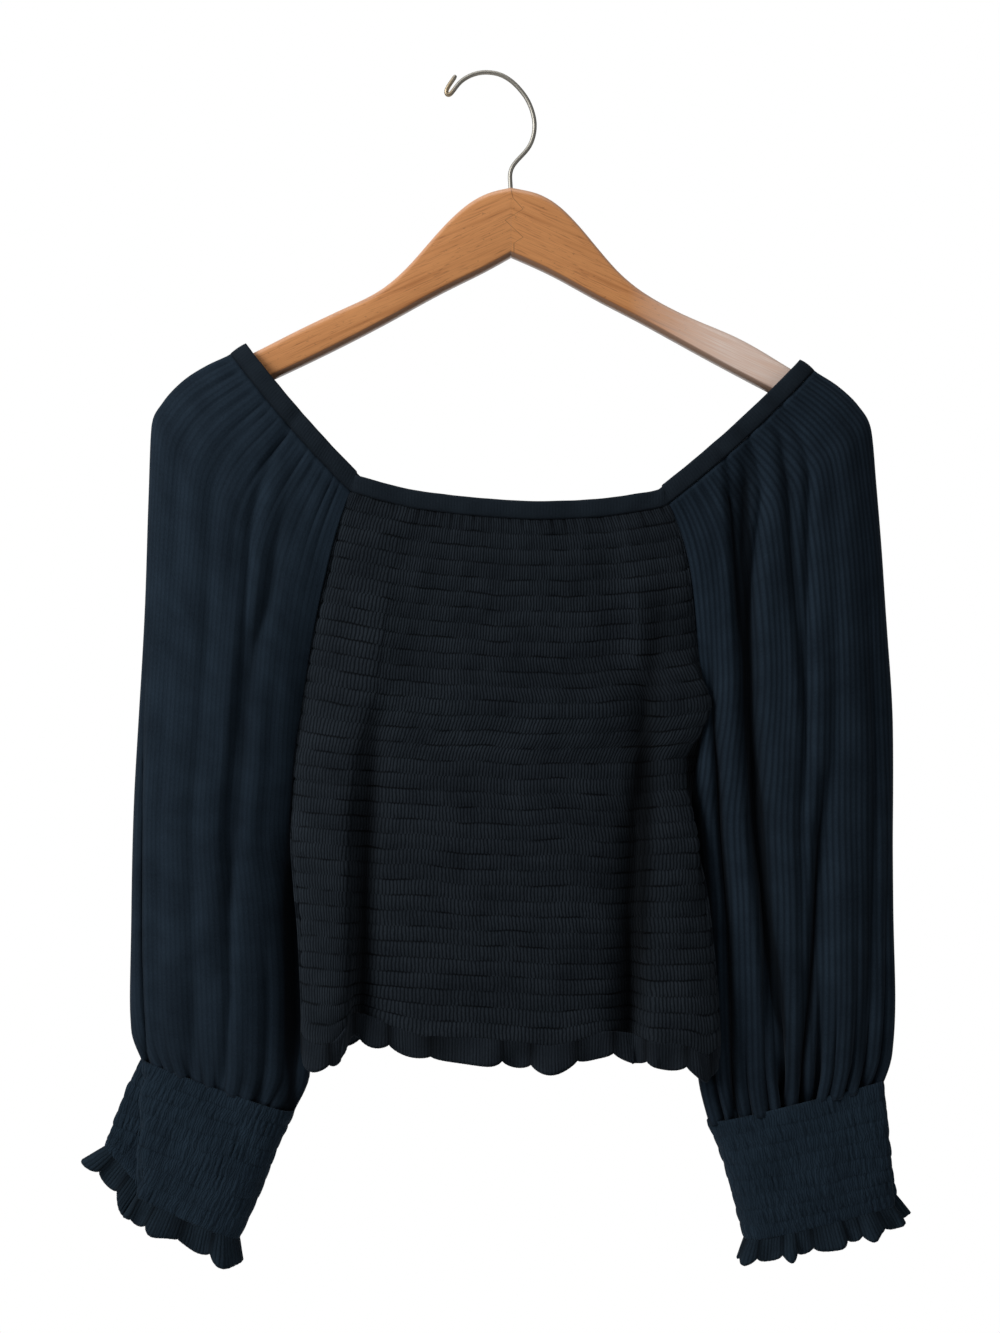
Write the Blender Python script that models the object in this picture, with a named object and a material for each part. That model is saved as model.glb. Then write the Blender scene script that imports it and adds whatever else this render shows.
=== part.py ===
"""A puff sleeve blouse in black rib knit, hanging on a wooden hanger.

Everything is in metres. The origin is where the hanger's hook rests on its
rail, +Z is up, +X is to the right of someone who faces the blouse, and the
front of the blouse faces -Y. Left and right are that person's.

Each piece of cloth is a wall: a grid of points that follows the cut piece,
thickened inwards, with its smocking or ribs raised on the outside only.
"""

from dataclasses import dataclass

import bmesh
import bpy
import numpy as np

SEAM_GAP = 0.0005
CURVE_STEPS = 24
SHARP_ANGLE = np.radians(50)

# Hanger
WOOD_HALF_THICKNESS = 0.006
WOOD_CORNER = 0.0045
WOOD_CORNER_CUT = 0.3
JOINT_X = 0.0096
BORE_DEPTH = 0.016
WIRE_RADIUS = 0.0014
WIRE_CLEARANCE = 0.0003

# Cloth
SLEEVE_WALL = 0.0015
PANEL_WALL = 0.0017
CUFF_WALL = 0.0015
RUFFLE_WALL = 0.0012
BINDING_IN = 0.0017
BINDING_OUT = 0.0006

RING_SQUARENESS = 2.3
SLEEVE_HALF_COLUMNS = 22
RIB_RELIEF = 0.0007
SMOCKING_ROWS = 34
SMOCKING_RELIEF = 0.0007
PANEL_INNER_STEP = 6
SIDE_HALF_GAP = 0.0002
SIDE_LEAN = 0.35

CUFF_SEAM_GAP = 0.0007
CUFF_COLUMNS = 28
CUFF_SMOCKING_ROWS = 7
CUFF_RELIEF = 0.0006
CUFF_INNER_STEP = 5
CUFF_FALL_ROWS = 4
CUFF_FLARE = 0.5
CUFF_RUFFLE_HEIGHT = 0.0125
CUFF_WAVE = 0.0125
CUFF_WAVE_DEPTH = 0.0026
HEM_RUFFLE_HEIGHT = 0.0150
HEM_WAVE = 0.0260
HEM_WAVE_DEPTH = 0.0036
WAVE_STEPS = 4
WAVE_LEAN = 0.35
WAVE_UNEVENNESS = 0.25
WAVE_GROWTH = 1.3
WAVE_DROP = 0.10
RUFFLE_LEVELS = (0.0, 0.5, 1.0)

ARM_COLUMNS = ("x", "top", "bottom", "fullness")
LEFT_ARM = (
    (0.0094, -0.0730, -0.1171, 1.0),
    (-0.0080, -0.0768, -0.1270, 1.0),
    (-0.0220, -0.0865, -0.1337, 1.0),
    (-0.0360, -0.1000, -0.1407, 1.0),
    (-0.0490, -0.1158, -0.1478, 1.0),
    (-0.0630, -0.1306, -0.1557, 1.0),
    (-0.0760, -0.1404, -0.1627, 1.0),
    (-0.0950, -0.1492, -0.1725, 1.0),
    (-0.1260, -0.1639, -0.1877, 1.0),
    (-0.1550, -0.1787, -0.2008, 1.0),
    (-0.1850, -0.1930, -0.2125, 0.95),
    (-0.1970, -0.2000, -0.2160, 0.8),
    (-0.2020, -0.2060, -0.2150, 0.5),
)
RIGHT_ARM = (
    (0.0098, -0.0730, -0.1171, 1.0),
    (0.0310, -0.0775, -0.1264, 1.0),
    (0.0450, -0.0885, -0.1337, 1.0),
    (0.0590, -0.1040, -0.1417, 1.0),
    (0.0730, -0.1218, -0.1492, 1.0),
    (0.0870, -0.1352, -0.1562, 1.0),
    (0.1075, -0.1480, -0.1674, 1.0),
    (0.1230, -0.1556, -0.1760, 1.0),
    (0.1560, -0.1696, -0.1938, 1.0),
    (0.1890, -0.1893, -0.2107, 1.0),
    (0.2080, -0.2008, -0.2190, 0.9),
    (0.2170, -0.2085, -0.2225, 0.75),
    (0.2220, -0.2145, -0.2220, 0.5),
)

# The hook's centre line, from the shank in the wood to the folded safety tip
HOOK_COLUMNS = ("x", "z")
HOOK_ROUTE = (
    (0.0096, -0.0885),
    (0.0094, -0.0720),
    (0.0090, -0.0640),
    (0.0115, -0.0575),
    (0.0218, -0.0454),
    (0.0248, -0.0320),
    (0.0212, -0.0182),
    (0.0134, -0.0074),
    (0.0045, -0.0008),
    (-0.0050, 0.0014),
    (-0.0141, 0.0002),
    (-0.0222, -0.0042),
    (-0.0276, -0.0108),
    (-0.0301, -0.0138),
    (-0.0322, -0.0124),
    (-0.0313, -0.0090),
    (-0.0274, -0.0032),
    (-0.0257, -0.0006),
)
HOOK_POINTS = 34

# One row for each ring of a sleeve, from the neck's edge to the cuff seam. The
# seam columns follow the raglan seam down to the armpit, then the inner fold;
# the outer columns follow the shoulder, then the outer fold. The cloth of a
# ring starts `start` of the way across it, so that the upper rings are open.
SLEEVE_COLUMNS = (
    "seam_x", "seam_z", "outer_x", "outer_z", "half_depth", "start", "sag", "seam_y",
)
LEFT_SLEEVE = (
    (-0.0862, -0.2578, -0.1594, -0.1735, 0.0175, 0.3000, 0.0028, 0.0),
    (-0.0915, -0.2690, -0.1690, -0.1800, 0.0180, 0.3000, 0.0032, 0.0),
    (-0.0975, -0.2850, -0.1840, -0.1872, 0.0190, 0.2400, 0.0040, 0.0),
    (-0.1030, -0.3030, -0.1990, -0.1968, 0.0205, 0.1700, 0.0030, 0.0),
    (-0.1080, -0.3230, -0.2120, -0.2105, 0.0215, 0.1100, 0.0010, 0.0),
    (-0.1135, -0.3460, -0.2190, -0.2240, 0.0220, 0.0650, 0.0000, 0.0),
    (-0.1190, -0.3730, -0.2212, -0.2720, 0.0225, 0.0320, 0.0000, 0.0),
    (-0.1245, -0.4060, -0.2234, -0.3360, 0.0225, 0.0120, 0.0000, 0.0),
    (-0.1300, -0.4500, -0.2271, -0.4100, 0.0220, 0.0009, 0.0000, 0.0),
    (-0.1318, -0.4860, -0.2301, -0.4700, 0.0220, 0.0040, 0.0000, 0.0055),
    (-0.1250, -0.5350, -0.2321, -0.5300, 0.0215, 0.0060, 0.0000, 0.0110),
    (-0.1205, -0.5930, -0.2332, -0.5860, 0.0200, 0.0060, 0.0020, 0.0110),
    (-0.1208, -0.6400, -0.2322, -0.6100, 0.0165, 0.0080, 0.0020, 0.0070),
    (-0.1302, -0.6630, -0.2245, -0.6290, 0.0110, 0.0100, 0.0000, 0.0),
)
RIGHT_SLEEVE = (
    (0.1030, -0.2662, 0.1939, -0.1838, 0.0175, 0.3000, 0.0032, 0.0),
    (0.1085, -0.2765, 0.2027, -0.1904, 0.0180, 0.3000, 0.0036, 0.0),
    (0.1150, -0.2900, 0.2173, -0.2002, 0.0190, 0.2400, 0.0040, 0.0),
    (0.1200, -0.3060, 0.2303, -0.2130, 0.0205, 0.1700, 0.0030, 0.0),
    (0.1235, -0.3230, 0.2380, -0.2255, 0.0215, 0.1100, 0.0010, 0.0),
    (0.1262, -0.3440, 0.2424, -0.2620, 0.0225, 0.0650, 0.0000, 0.0),
    (0.1285, -0.3680, 0.2467, -0.3110, 0.0230, 0.0320, 0.0000, 0.0),
    (0.1310, -0.4000, 0.2491, -0.3640, 0.0235, 0.0120, 0.0000, 0.0),
    (0.1290, -0.4400, 0.2519, -0.4200, 0.0235, 0.0009, 0.0000, 0.0),
    (0.1240, -0.4800, 0.2532, -0.4760, 0.0235, 0.0040, 0.0000, 0.0085),
    (0.1275, -0.5350, 0.2534, -0.5320, 0.0225, 0.0060, 0.0000, 0.0120),
    (0.1285, -0.5950, 0.2545, -0.5900, 0.0205, 0.0060, 0.0000, 0.0130),
    (0.1297, -0.6420, 0.2535, -0.6230, 0.0170, 0.0080, 0.0020, 0.0090),
    (0.1362, -0.6690, 0.2464, -0.6420, 0.0120, 0.0100, 0.0000, 0.0),
)
NECK_EDGE_ROW = 0
NECK_SEAM_ROW = 1
ARMPIT_ROW = 8

# One row for each fold of a sleeve: where it lies between the seam and the
# outer fold at the neck, halfway and at the cuff, how deep it is there, its
# half width as a share of the ring, and whether it is on the front or the back
FOLD_COLUMNS = (
    "top", "middle", "low", "top_depth", "middle_depth", "low_depth", "width", "front",
)
LEFT_FOLDS = (
    (0.50, 0.36, 0.47, 0.0020, 0.0060, 0.0045, 0.035, 1),
    (0.26, 0.14, 0.22, 0.0012, 0.0030, 0.0040, 0.045, 1),
    (0.70, 0.58, 0.66, 0.0015, 0.0028, 0.0032, 0.050, 1),
    (0.86, 0.80, 0.84, 0.0010, 0.0022, 0.0030, 0.040, 1),
    (0.94, 0.935, 0.93, 0.0000, 0.0030, 0.0030, 0.020, 1),
    (0.40, 0.30, 0.35, 0.0015, 0.0048, 0.0040, 0.040, 0),
    (0.62, 0.55, 0.60, 0.0012, 0.0032, 0.0035, 0.050, 0),
    (0.82, 0.78, 0.82, 0.0010, 0.0028, 0.0030, 0.045, 0),
)
RIGHT_FOLDS = (
    (0.54, 0.27, 0.43, 0.0030, 0.0075, 0.0055, 0.035, 1),
    (0.76, 0.55, 0.50, 0.0026, 0.0040, 0.0000, 0.032, 1),
    (0.38, 0.20, 0.28, 0.0022, 0.0020, 0.0000, 0.030, 1),
    (0.20, 0.09, 0.20, 0.0000, 0.0026, 0.0045, 0.035, 1),
    (0.88, 0.70, 0.58, 0.0000, 0.0022, 0.0050, 0.045, 1),
    (0.94, 0.90, 0.90, 0.0010, 0.0022, 0.0030, 0.030, 1),
    (0.45, 0.33, 0.38, 0.0018, 0.0052, 0.0045, 0.040, 0),
    (0.68, 0.60, 0.62, 0.0012, 0.0034, 0.0035, 0.050, 0),
    (0.86, 0.82, 0.84, 0.0010, 0.0028, 0.0030, 0.045, 0),
)

# The body's side seams, from the armpits to the hem
SIDE_COLUMNS = ("z", "left_x", "right_x", "y")
SIDE_SEAMS = (
    (-0.4400, -0.1284, 0.1276, 0.0),
    (-0.4620, -0.1292, 0.1240, 0.0),
    (-0.4850, -0.1298, 0.1255, -0.0060),
    (-0.5200, -0.1270, 0.1325, -0.0125),
    (-0.5500, -0.1240, 0.1360, -0.0155),
    (-0.6050, -0.1220, 0.1405, -0.0165),
    (-0.6300, -0.1220, 0.1412, -0.0165),
)

# One row for each column of a panel: where it lies across the body at the
# neck and at the hem, how far it stands out from the middle plane at the
# neck, at the armpits and at the hem, and the height of its two ends
PANEL_COLUMNS = (
    "top_across", "low_across", "top_out", "middle_out", "low_out",
    "edge_z", "seam_z", "hem_z",
)
FRONT_PANEL = (
    (0.000, 0.000, 0.0175, 0.0020, 0.0165, -0.2578, -0.2690, -0.6100),
    (0.014, 0.014, 0.0180, 0.0080, 0.0220, -0.2586, -0.2698, -0.6140),
    (0.045, 0.040, 0.0185, 0.0130, 0.0260, -0.2604, -0.2716, -0.6155),
    (0.100, 0.072, 0.0190, 0.0170, 0.0285, -0.2636, -0.2748, -0.6145),
    (0.165, 0.100, 0.0190, 0.0200, 0.0280, -0.2668, -0.2780, -0.6075),
    (0.190, 0.116, 0.0190, 0.0180, 0.0170, -0.2680, -0.2792, -0.5990),
    (0.220, 0.142, 0.0190, 0.0165, 0.0110, -0.2690, -0.2802, -0.6000),
    (0.260, 0.195, 0.0190, 0.0172, 0.0140, -0.2700, -0.2812, -0.6040),
    (0.350, 0.310, 0.0195, 0.0185, 0.0185, -0.2722, -0.2834, -0.6120),
    (0.470, 0.460, 0.0200, 0.0195, 0.0200, -0.2743, -0.2855, -0.6135),
    (0.590, 0.600, 0.0200, 0.0195, 0.0198, -0.2754, -0.2866, -0.6175),
    (0.700, 0.720, 0.0195, 0.0180, 0.0165, -0.2748, -0.2860, -0.6100),
    (0.790, 0.795, 0.0190, 0.0145, 0.0100, -0.2736, -0.2848, -0.6130),
    (0.825, 0.822, 0.0190, 0.0165, 0.0190, -0.2728, -0.2840, -0.6145),
    (0.855, 0.848, 0.0190, 0.0195, 0.0285, -0.2720, -0.2832, -0.6140),
    (0.915, 0.915, 0.0185, 0.0170, 0.0290, -0.2700, -0.2812, -0.6155),
    (0.965, 0.965, 0.0180, 0.0125, 0.0250, -0.2682, -0.2794, -0.6230),
    (0.988, 0.988, 0.0178, 0.0080, 0.0220, -0.2668, -0.2780, -0.6190),
    (1.000, 1.000, 0.0175, 0.0020, 0.0165, -0.2662, -0.2765, -0.6150),
)
BACK_PANEL = (
    (0.000, 0.000, 0.0175, 0.0020, -0.0165, -0.2578, -0.2690, -0.6100),
    (0.014, 0.014, 0.0175, 0.0080, -0.0120, -0.2615, -0.2727, -0.6120),
    (0.045, 0.045, 0.0175, 0.0125, -0.0050, -0.2655, -0.2767, -0.6125),
    (0.120, 0.110, 0.0175, 0.0160, 0.0110, -0.2715, -0.2827, -0.6080),
    (0.200, 0.180, 0.0175, 0.0170, 0.0190, -0.2745, -0.2857, -0.5990),
    (0.240, 0.220, 0.0175, 0.0150, 0.0110, -0.2757, -0.2869, -0.5975),
    (0.300, 0.290, 0.0178, 0.0170, 0.0165, -0.2770, -0.2882, -0.6010),
    (0.430, 0.420, 0.0180, 0.0180, 0.0190, -0.2790, -0.2902, -0.6090),
    (0.560, 0.560, 0.0180, 0.0180, 0.0190, -0.2800, -0.2910, -0.6120),
    (0.690, 0.700, 0.0178, 0.0165, 0.0160, -0.2795, -0.2905, -0.6090),
    (0.750, 0.760, 0.0175, 0.0140, 0.0095, -0.2783, -0.2893, -0.6075),
    (0.800, 0.810, 0.0175, 0.0165, 0.0185, -0.2770, -0.2880, -0.6110),
    (0.890, 0.900, 0.0175, 0.0160, 0.0080, -0.2740, -0.2847, -0.6135),
    (0.955, 0.955, 0.0175, 0.0125, -0.0060, -0.2705, -0.2810, -0.6165),
    (0.986, 0.986, 0.0175, 0.0080, -0.0125, -0.2687, -0.2791, -0.6160),
    (1.000, 1.000, 0.0175, 0.0020, -0.0165, -0.2662, -0.2765, -0.6150),
)
MIDDLE_LEVEL = 0.48

# One row for each ring of a cuff below the one at the sleeve, down to its ruffle. "edge" is
# the outer edge of the front layer, and "fan" that of the layer which shows behind it.
CUFF_RING_COLUMNS = (
    "inner_x", "inner_z", "edge_x", "edge_z", "fan_x", "fan_z", "front", "back",
)
LEFT_CUFF = (
    (-0.1405, -0.6850, -0.2256, -0.6560, -0.2366, -0.6520, 0.0125, 0.0120),
    (-0.1505, -0.7110, -0.2265, -0.6860, -0.2458, -0.6750, 0.0125, 0.0120),
    (-0.1652, -0.7435, -0.2280, -0.7160, -0.2506, -0.6875, 0.0105, 0.0110),
)
RIGHT_CUFF = (
    (0.1462, -0.6930, 0.2480, -0.6720, 0.2494, -0.6700, 0.0140, 0.0130),
    (0.1534, -0.7190, 0.2500, -0.6990, 0.2520, -0.6960, 0.0140, 0.0130),
    (0.1600, -0.7440, 0.2522, -0.7215, 0.2555, -0.7180, 0.0120, 0.0120),
)


# The points round a cuff's ring: shares of the way across and down between two of its corners,
# and shares of its front and back depths
CUFF_POINT_COLUMNS = ("start", "end", "across", "down", "front", "back")
CUFF_POINTS = (
    ("inner", "edge", 0.00, 0.00, 0.00, 0.00),
    ("inner", "edge", 0.12, 0.12, 0.85, 0.00),
    ("inner", "edge", 0.50, 0.50, 1.00, 0.00),
    ("inner", "edge", 0.90, 0.90, 0.80, 0.00),
    ("edge", "fan", 0.15, 0.50, 0.20, 0.00),
    ("edge", "fan", 1.00, 1.00, 0.00, 0.25),
    ("inner", "fan", 0.85, 0.85, 0.00, 0.95),
    ("inner", "fan", 0.45, 0.45, 0.00, 1.00),
    ("inner", "fan", 0.10, 0.10, 0.00, 0.80),
)


@dataclass
class Sheet:
    """A grid of points down and across a piece of cloth, with its outward normals."""

    points: np.ndarray
    normals: np.ndarray


def table(columns, rows):
    """The rows as one array for each named column."""
    return dict(zip(columns, np.array(rows, float).T))


def smooth(places, values, at):
    """Values at the places `at` on a curve through the table's rows that never overshoots them."""
    steps = np.diff(places)
    rises = np.diff(values) / steps
    slopes = np.concatenate([rises[:1], np.zeros(len(steps) - 1), rises[-1:]])
    for k in range(1, len(steps)):
        if rises[k - 1] * rises[k] > 0:
            slopes[k] = 2 * rises[k - 1] * rises[k] / (rises[k - 1] + rises[k])
    k = np.clip(np.searchsorted(places, at, side="right") - 1, 0, len(steps) - 1)
    t = np.clip((at - places[k]) / steps[k], 0, 1)
    ends = values[k] * (1 + 2 * t) * (1 - t) ** 2 + values[k + 1] * t * t * (3 - 2 * t)
    return ends + steps[k] * t * (1 - t) * (slopes[k] * (1 - t) - slopes[k + 1] * t)


def unit(vectors):
    return vectors / np.linalg.norm(vectors, axis=-1, keepdims=True)


def lengths_along(points):
    """How far each point of a path lies from its first."""
    steps = np.linalg.norm(np.diff(points, axis=0), axis=1)
    return np.concatenate([[0.0], np.cumsum(steps)])


def curve_through(padded):
    """A smooth curve through all but the first and the last of these points."""
    steps = np.linspace(0, 1, CURVE_STEPS, endpoint=False)[:, None]
    pieces = []
    for before, start, end, after in zip(padded, padded[1:], padded[2:], padded[3:]):
        pieces.append(
            start
            + 0.5 * steps * (end - before)
            + steps**2 * (before - 2.5 * start + 2 * end - 0.5 * after)
            + steps**3 * (1.5 * (start - end) + 0.5 * (after - before))
        )
    return np.concatenate([*pieces, padded[-2:-1]])


def spaced(path, count):
    """Points spaced evenly along a path, its two ends included."""
    walked = lengths_along(path)
    at = np.linspace(0, walked[-1], count)
    return np.stack([np.interp(at, walked, path[:, k]) for k in range(3)], axis=1)


def material(name, color, roughness, metallic=0.0):
    made = bpy.data.materials.new(name)
    made.use_nodes = True
    shader = made.node_tree.nodes["Principled BSDF"]
    shader.inputs["Base Color"].default_value = (*color, 1.0)
    shader.inputs["Roughness"].default_value = roughness
    shader.inputs["Metallic"].default_value = metallic
    return made


def add_object(name, mesh, finish):
    """Turns a closed bmesh into a named object whose faces point outwards."""
    bmesh.ops.recalc_face_normals(mesh, faces=mesh.faces)
    data = bpy.data.meshes.new(name)
    mesh.to_mesh(data)
    mesh.free()
    data.materials.append(finish)
    data.shade_smooth()
    data.set_sharp_from_angle(angle=SHARP_ANGLE)
    made = bpy.data.objects.new(name, data)
    bpy.context.scene.collection.objects.link(made)
    return made


# ---- walls of cloth


def fill_between(mesh, first, second):
    """Fills the strip between two rows of points that start and end side by side."""
    i = j = 0
    while i < len(first) - 1 or j < len(second) - 1:
        reach_i = (i + 1) / (len(first) - 1) if i < len(first) - 1 else 2.0
        reach_j = (j + 1) / (len(second) - 1) if j < len(second) - 1 else 2.0
        if abs(reach_i - reach_j) < 1e-9:
            mesh.faces.new((first[i], first[i + 1], second[j + 1], second[j]))
            i, j = i + 1, j + 1
        elif reach_i < reach_j:
            mesh.faces.new((first[i], first[i + 1], second[j]))
            i += 1
        else:
            mesh.faces.new((first[i], second[j + 1], second[j]))
            j += 1


def lay_grid(mesh, points, closed_from):
    """Adds a grid of points and its faces. Rows from `closed_from` on join up round a tube."""
    grid = [[mesh.verts.new(point) for point in row] for row in points]
    for r in range(len(grid) - 1):
        upper, lower = grid[r], grid[r + 1]
        if r >= closed_from:
            upper, lower = upper + upper[:1], lower + lower[:1]
        fill_between(mesh, upper, lower)
    return grid


def cloth_wall(name, sheet, thickness, relief, finish, closed_from=None, inner_step=1):
    """A wall on a sheet: raised by `relief` outside, plain and `thickness` deep inside.

    `closed_from` is the first row that joins up round a tube, and None for a
    panel. The inside keeps every `inner_step`th row.
    """
    last = len(sheet.points) - 1
    kept = sorted({*range(0, last, inner_step), last, closed_from or 0})
    outer_closed = last + 1 if closed_from is None else closed_from
    inner_closed = len(kept) if closed_from is None else kept.index(closed_from)
    mesh = bmesh.new()
    raised = sheet.points + relief[..., None] * sheet.normals
    outer = lay_grid(mesh, raised, outer_closed)
    plain = (sheet.points - thickness * sheet.normals)[kept]
    inner = lay_grid(mesh, plain, inner_closed)
    for row, is_closed in ((0, closed_from == 0), (-1, closed_from is not None)):
        first, second = outer[row], inner[row]
        if is_closed:
            first, second = first + first[:1], second + second[:1]
        fill_between(mesh, first, second)
    if closed_from != 0:
        for column in (0, -1):
            fill_between(
                mesh,
                [row[column] for row in outer[: outer_closed + 1]],
                [row[column] for row in inner[: inner_closed + 1]],
            )
    if closed_from:
        notch = outer[outer_closed], inner[inner_closed]
        mesh.faces.new((notch[0][0], notch[0][-1], notch[1][-1], notch[1][0]))
    return add_object(name, mesh, finish)


def sheet_normals(points, closed_from, outward):
    """Normals of a grid of points, worked out from its neighbours."""
    down = np.gradient(points, axis=0)
    across = np.gradient(points, axis=1)
    round_tube = (np.roll(points, -1, axis=1) - np.roll(points, 1, axis=1)) / 2
    across[closed_from:] = round_tube[closed_from:]
    return unit(np.cross(across, down)) * outward


# ---- sleeves


def ring_height(place):
    """The half depth across a flattened ring: 1 at its middle, 0 at its two folds."""
    return (1 - np.abs(2 * place - 1) ** RING_SQUARENESS) ** (1 / RING_SQUARENESS)


def ring_places(start, width, half_depth):
    """Places across a flattened ring, spaced evenly along its cloth, up to the fold at 1."""
    fine = start + (1 - start) * (1 - np.cos(np.linspace(0, np.pi, 400))) / 2
    flat = width * (fine - start) / (1 - start)
    path = np.stack([flat, half_depth * ring_height(fine)], axis=1)
    walked = lengths_along(path)
    return np.interp(np.linspace(0, walked[-1], SLEEVE_HALF_COLUMNS + 1), walked, fine)


def fold_depth(folds, across, level, is_front):
    """How deep the folds of a sleeve's front or back lie at places across one ring."""
    depth = np.zeros_like(across)
    stops = np.array([0.0, 0.5, 1.0])
    for row in folds:
        fold = dict(zip(FOLD_COLUMNS, row))
        if bool(fold["front"]) != is_front:
            continue
        place = smooth(stops, np.array([fold["top"], fold["middle"], fold["low"]]), level)
        sizes = np.array([fold["top_depth"], fold["middle_depth"], fold["low_depth"]])
        size = smooth(stops, sizes, level)
        depth += size * np.exp(-(((across - place) / fold["width"]) ** 2))
    return depth


def sleeve_rings(rows, folds):
    """The points of a sleeve's rings, the neck's edge first, front seam to back seam."""
    ring = table(SLEEVE_COLUMNS, rows)
    points = []
    for r in range(len(rows)):
        seam = np.array([ring["seam_x"][r], ring["seam_z"][r]])
        outer = np.array([ring["outer_x"][r], ring["outer_z"][r]])
        start, half_depth = ring["start"][r], ring["half_depth"][r]
        place = ring_places(start, np.linalg.norm(outer - seam), half_depth)
        across = (place - start) / (1 - start)
        flat = seam + (outer - seam) * across[:, None]
        flat[:, 1] -= ring["sag"][r] * 4 * across * (1 - across)
        middle = ring["seam_y"][r] * (1 - across) ** 2
        level = max(r - NECK_SEAM_ROW, 0) / (len(rows) - 1 - NECK_SEAM_ROW)
        halves = []
        for side in (-1, 1):
            depth = half_depth * ring_height(place)
            depth = depth - fold_depth(folds, across, level, side < 0) * np.sin(np.pi * across)
            halves.append(np.stack([flat[:, 0], middle + side * depth, flat[:, 1]], axis=1))
        points.append(np.concatenate([halves[0], halves[1][-2::-1]]))
    return np.array(points)


def sleeve_sheet(rows, folds, outward):
    """A sleeve's neck edge and its sheet, with the normals that its seams share."""
    rings = sleeve_rings(rows, folds)
    normals = sheet_normals(rings, ARMPIT_ROW + 1, outward)
    open_rows = slice(0, ARMPIT_ROW + 1)
    normals[open_rows, 0] = (0, -1, 0)
    normals[open_rows, -1] = (0, 1, 0)
    round_cuff = np.roll(rings[-1], -1, axis=0) - np.roll(rings[-1], 1, axis=0)
    normals[-1] = unit(np.cross(round_cuff, (0, 0, -1))) * outward
    return rings[NECK_EDGE_ROW], Sheet(rings[NECK_SEAM_ROW:], normals[NECK_SEAM_ROW:])


def sleeve_relief(sheet):
    """Ribs along the sleeve: every second column is raised, less so at the two seams."""
    rows, columns = sheet.points.shape[:2]
    ribs = RIB_RELIEF * (np.arange(columns) % 2)
    return np.ones((rows, 1)) * ribs


# ---- body


def seam_edge(rings, z):
    """Where a panel's edge lies at heights z: down the raglan seam, then the side seam."""
    armpit = ARMPIT_ROW - NECK_SEAM_ROW
    raglan = rings[: armpit + 1]
    return (
        np.interp(-z, -raglan[:, 2], raglan[:, 0]),
        np.interp(-z, -raglan[:, 2], raglan[:, 1]),
        -z > -raglan[-1, 2],
    )


def panel_sheet(rows, left_edge, right_edge, facing):
    """A body panel between two sleeves' raglan seams and the side seams below them.

    `facing` is -1 for the front and 1 for the back.
    """
    column = table(PANEL_COLUMNS, rows)
    side = table(SIDE_COLUMNS, SIDE_SEAMS)
    lines = 2 * SMOCKING_ROWS + 1
    levels = np.linspace(0, 1, lines)[:, None]
    z = column["seam_z"] + (column["hem_z"] - column["seam_z"]) * levels
    stops = np.array([0.0, MIDDLE_LEVEL, 1.0])
    outs = np.stack([column["top_out"], column["middle_out"], column["low_out"]])
    out = np.stack([smooth(stops, outs[:, c], levels[:, 0]) for c in range(len(rows))], axis=1)
    y = facing * out
    ease = np.clip((levels - MIDDLE_LEVEL / 2) / (1 - MIDDLE_LEVEL / 2), 0, 1)
    across = column["top_across"] + (column["low_across"] - column["top_across"]) * ease
    normal_edges = []
    ends = []
    for edge, sleeve, side_x, inward in (
        (0, left_edge, side["left_x"], 1),
        (-1, right_edge, side["right_x"], -1),
    ):
        x, edge_y, is_below = seam_edge(sleeve, z[:, edge])
        x = x + inward * SEAM_GAP
        below_x = smooth(-side["z"], side_x, -z[:, edge])
        side_y = smooth(-side["z"], side["y"], -z[:, edge]) + facing * SIDE_HALF_GAP
        x = np.where(is_below, below_x, x)
        y[:, edge] = np.where(is_below, side_y, edge_y)
        ends.append(x)
        normal_edges.append((edge, is_below, inward))
    x = ends[0][:, None] + (ends[1] - ends[0])[:, None] * across
    points = np.stack([x, y, z], axis=2)
    normals = sheet_normals(points, lines, facing)
    for edge, is_below, inward in normal_edges:
        along_seam = np.array([0.0, facing, 0.0])
        past_side = unit(np.array([-inward, -SIDE_LEAN * facing, 0.0]))
        normals[:, edge] = np.where(is_below[:, None], past_side, along_seam)
    hem_across = np.gradient(points[-1], axis=0)
    normals[-1, 1:-1] = unit(np.cross(hem_across, (0, 0, -1)) * facing)[1:-1]
    return Sheet(points, normals)


def smocking_relief(sheet):
    """Rows of shirring: the cloth puffs out between them, but not at the panel's side edges."""
    lines, columns = sheet.points.shape[:2]
    puffs = SMOCKING_RELIEF * (np.arange(lines) % 2)
    inside = np.ones(columns)
    inside[[0, -1]] = 0.0
    return puffs[:, None] * inside


# ---- neck binding


def neck_binding(panels, edges, sleeves, finish):
    """One band round the neckline, made from the tops of the four pieces under it."""
    front, back = panels
    left, right = sleeves
    left_edge, right_edge = edges
    tops, seams, normals = [], [], []

    def add(edge_points, seam_points, seam_normals):
        tops.append(edge_points)
        seams.append(seam_points)
        normals.append(seam_normals)

    def panel_top(sheet, rows):
        column = table(PANEL_COLUMNS, rows)
        top = sheet.points[0].copy()
        top[:, 2] = column["edge_z"]
        return top[2:-2], sheet.points[0][2:-2], sheet.normals[0][2:-2]

    add(left_edge[::2], left.points[0][::2], left.normals[0][::2])
    add(*panel_top(back, BACK_PANEL))
    add(right_edge[::-2], right.points[0][::-2], right.normals[0][::-2])
    add(*(part[::-1] for part in panel_top(front, FRONT_PANEL)))
    top, seam = np.concatenate(tops), np.concatenate(seams)
    outward = np.concatenate(normals)
    rise = unit(top - seam)
    seam = seam + SEAM_GAP * rise
    points = np.stack([top, (top + seam) / 2, seam])
    sheet = Sheet(points, np.stack([outward] * 3))
    relief = np.full(points.shape[:2], BINDING_OUT)
    relief[0] = 0.0
    return cloth_wall("neck_binding", sheet, BINDING_IN, relief, finish, closed_from=0)


# ---- cuffs and ruffles


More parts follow.
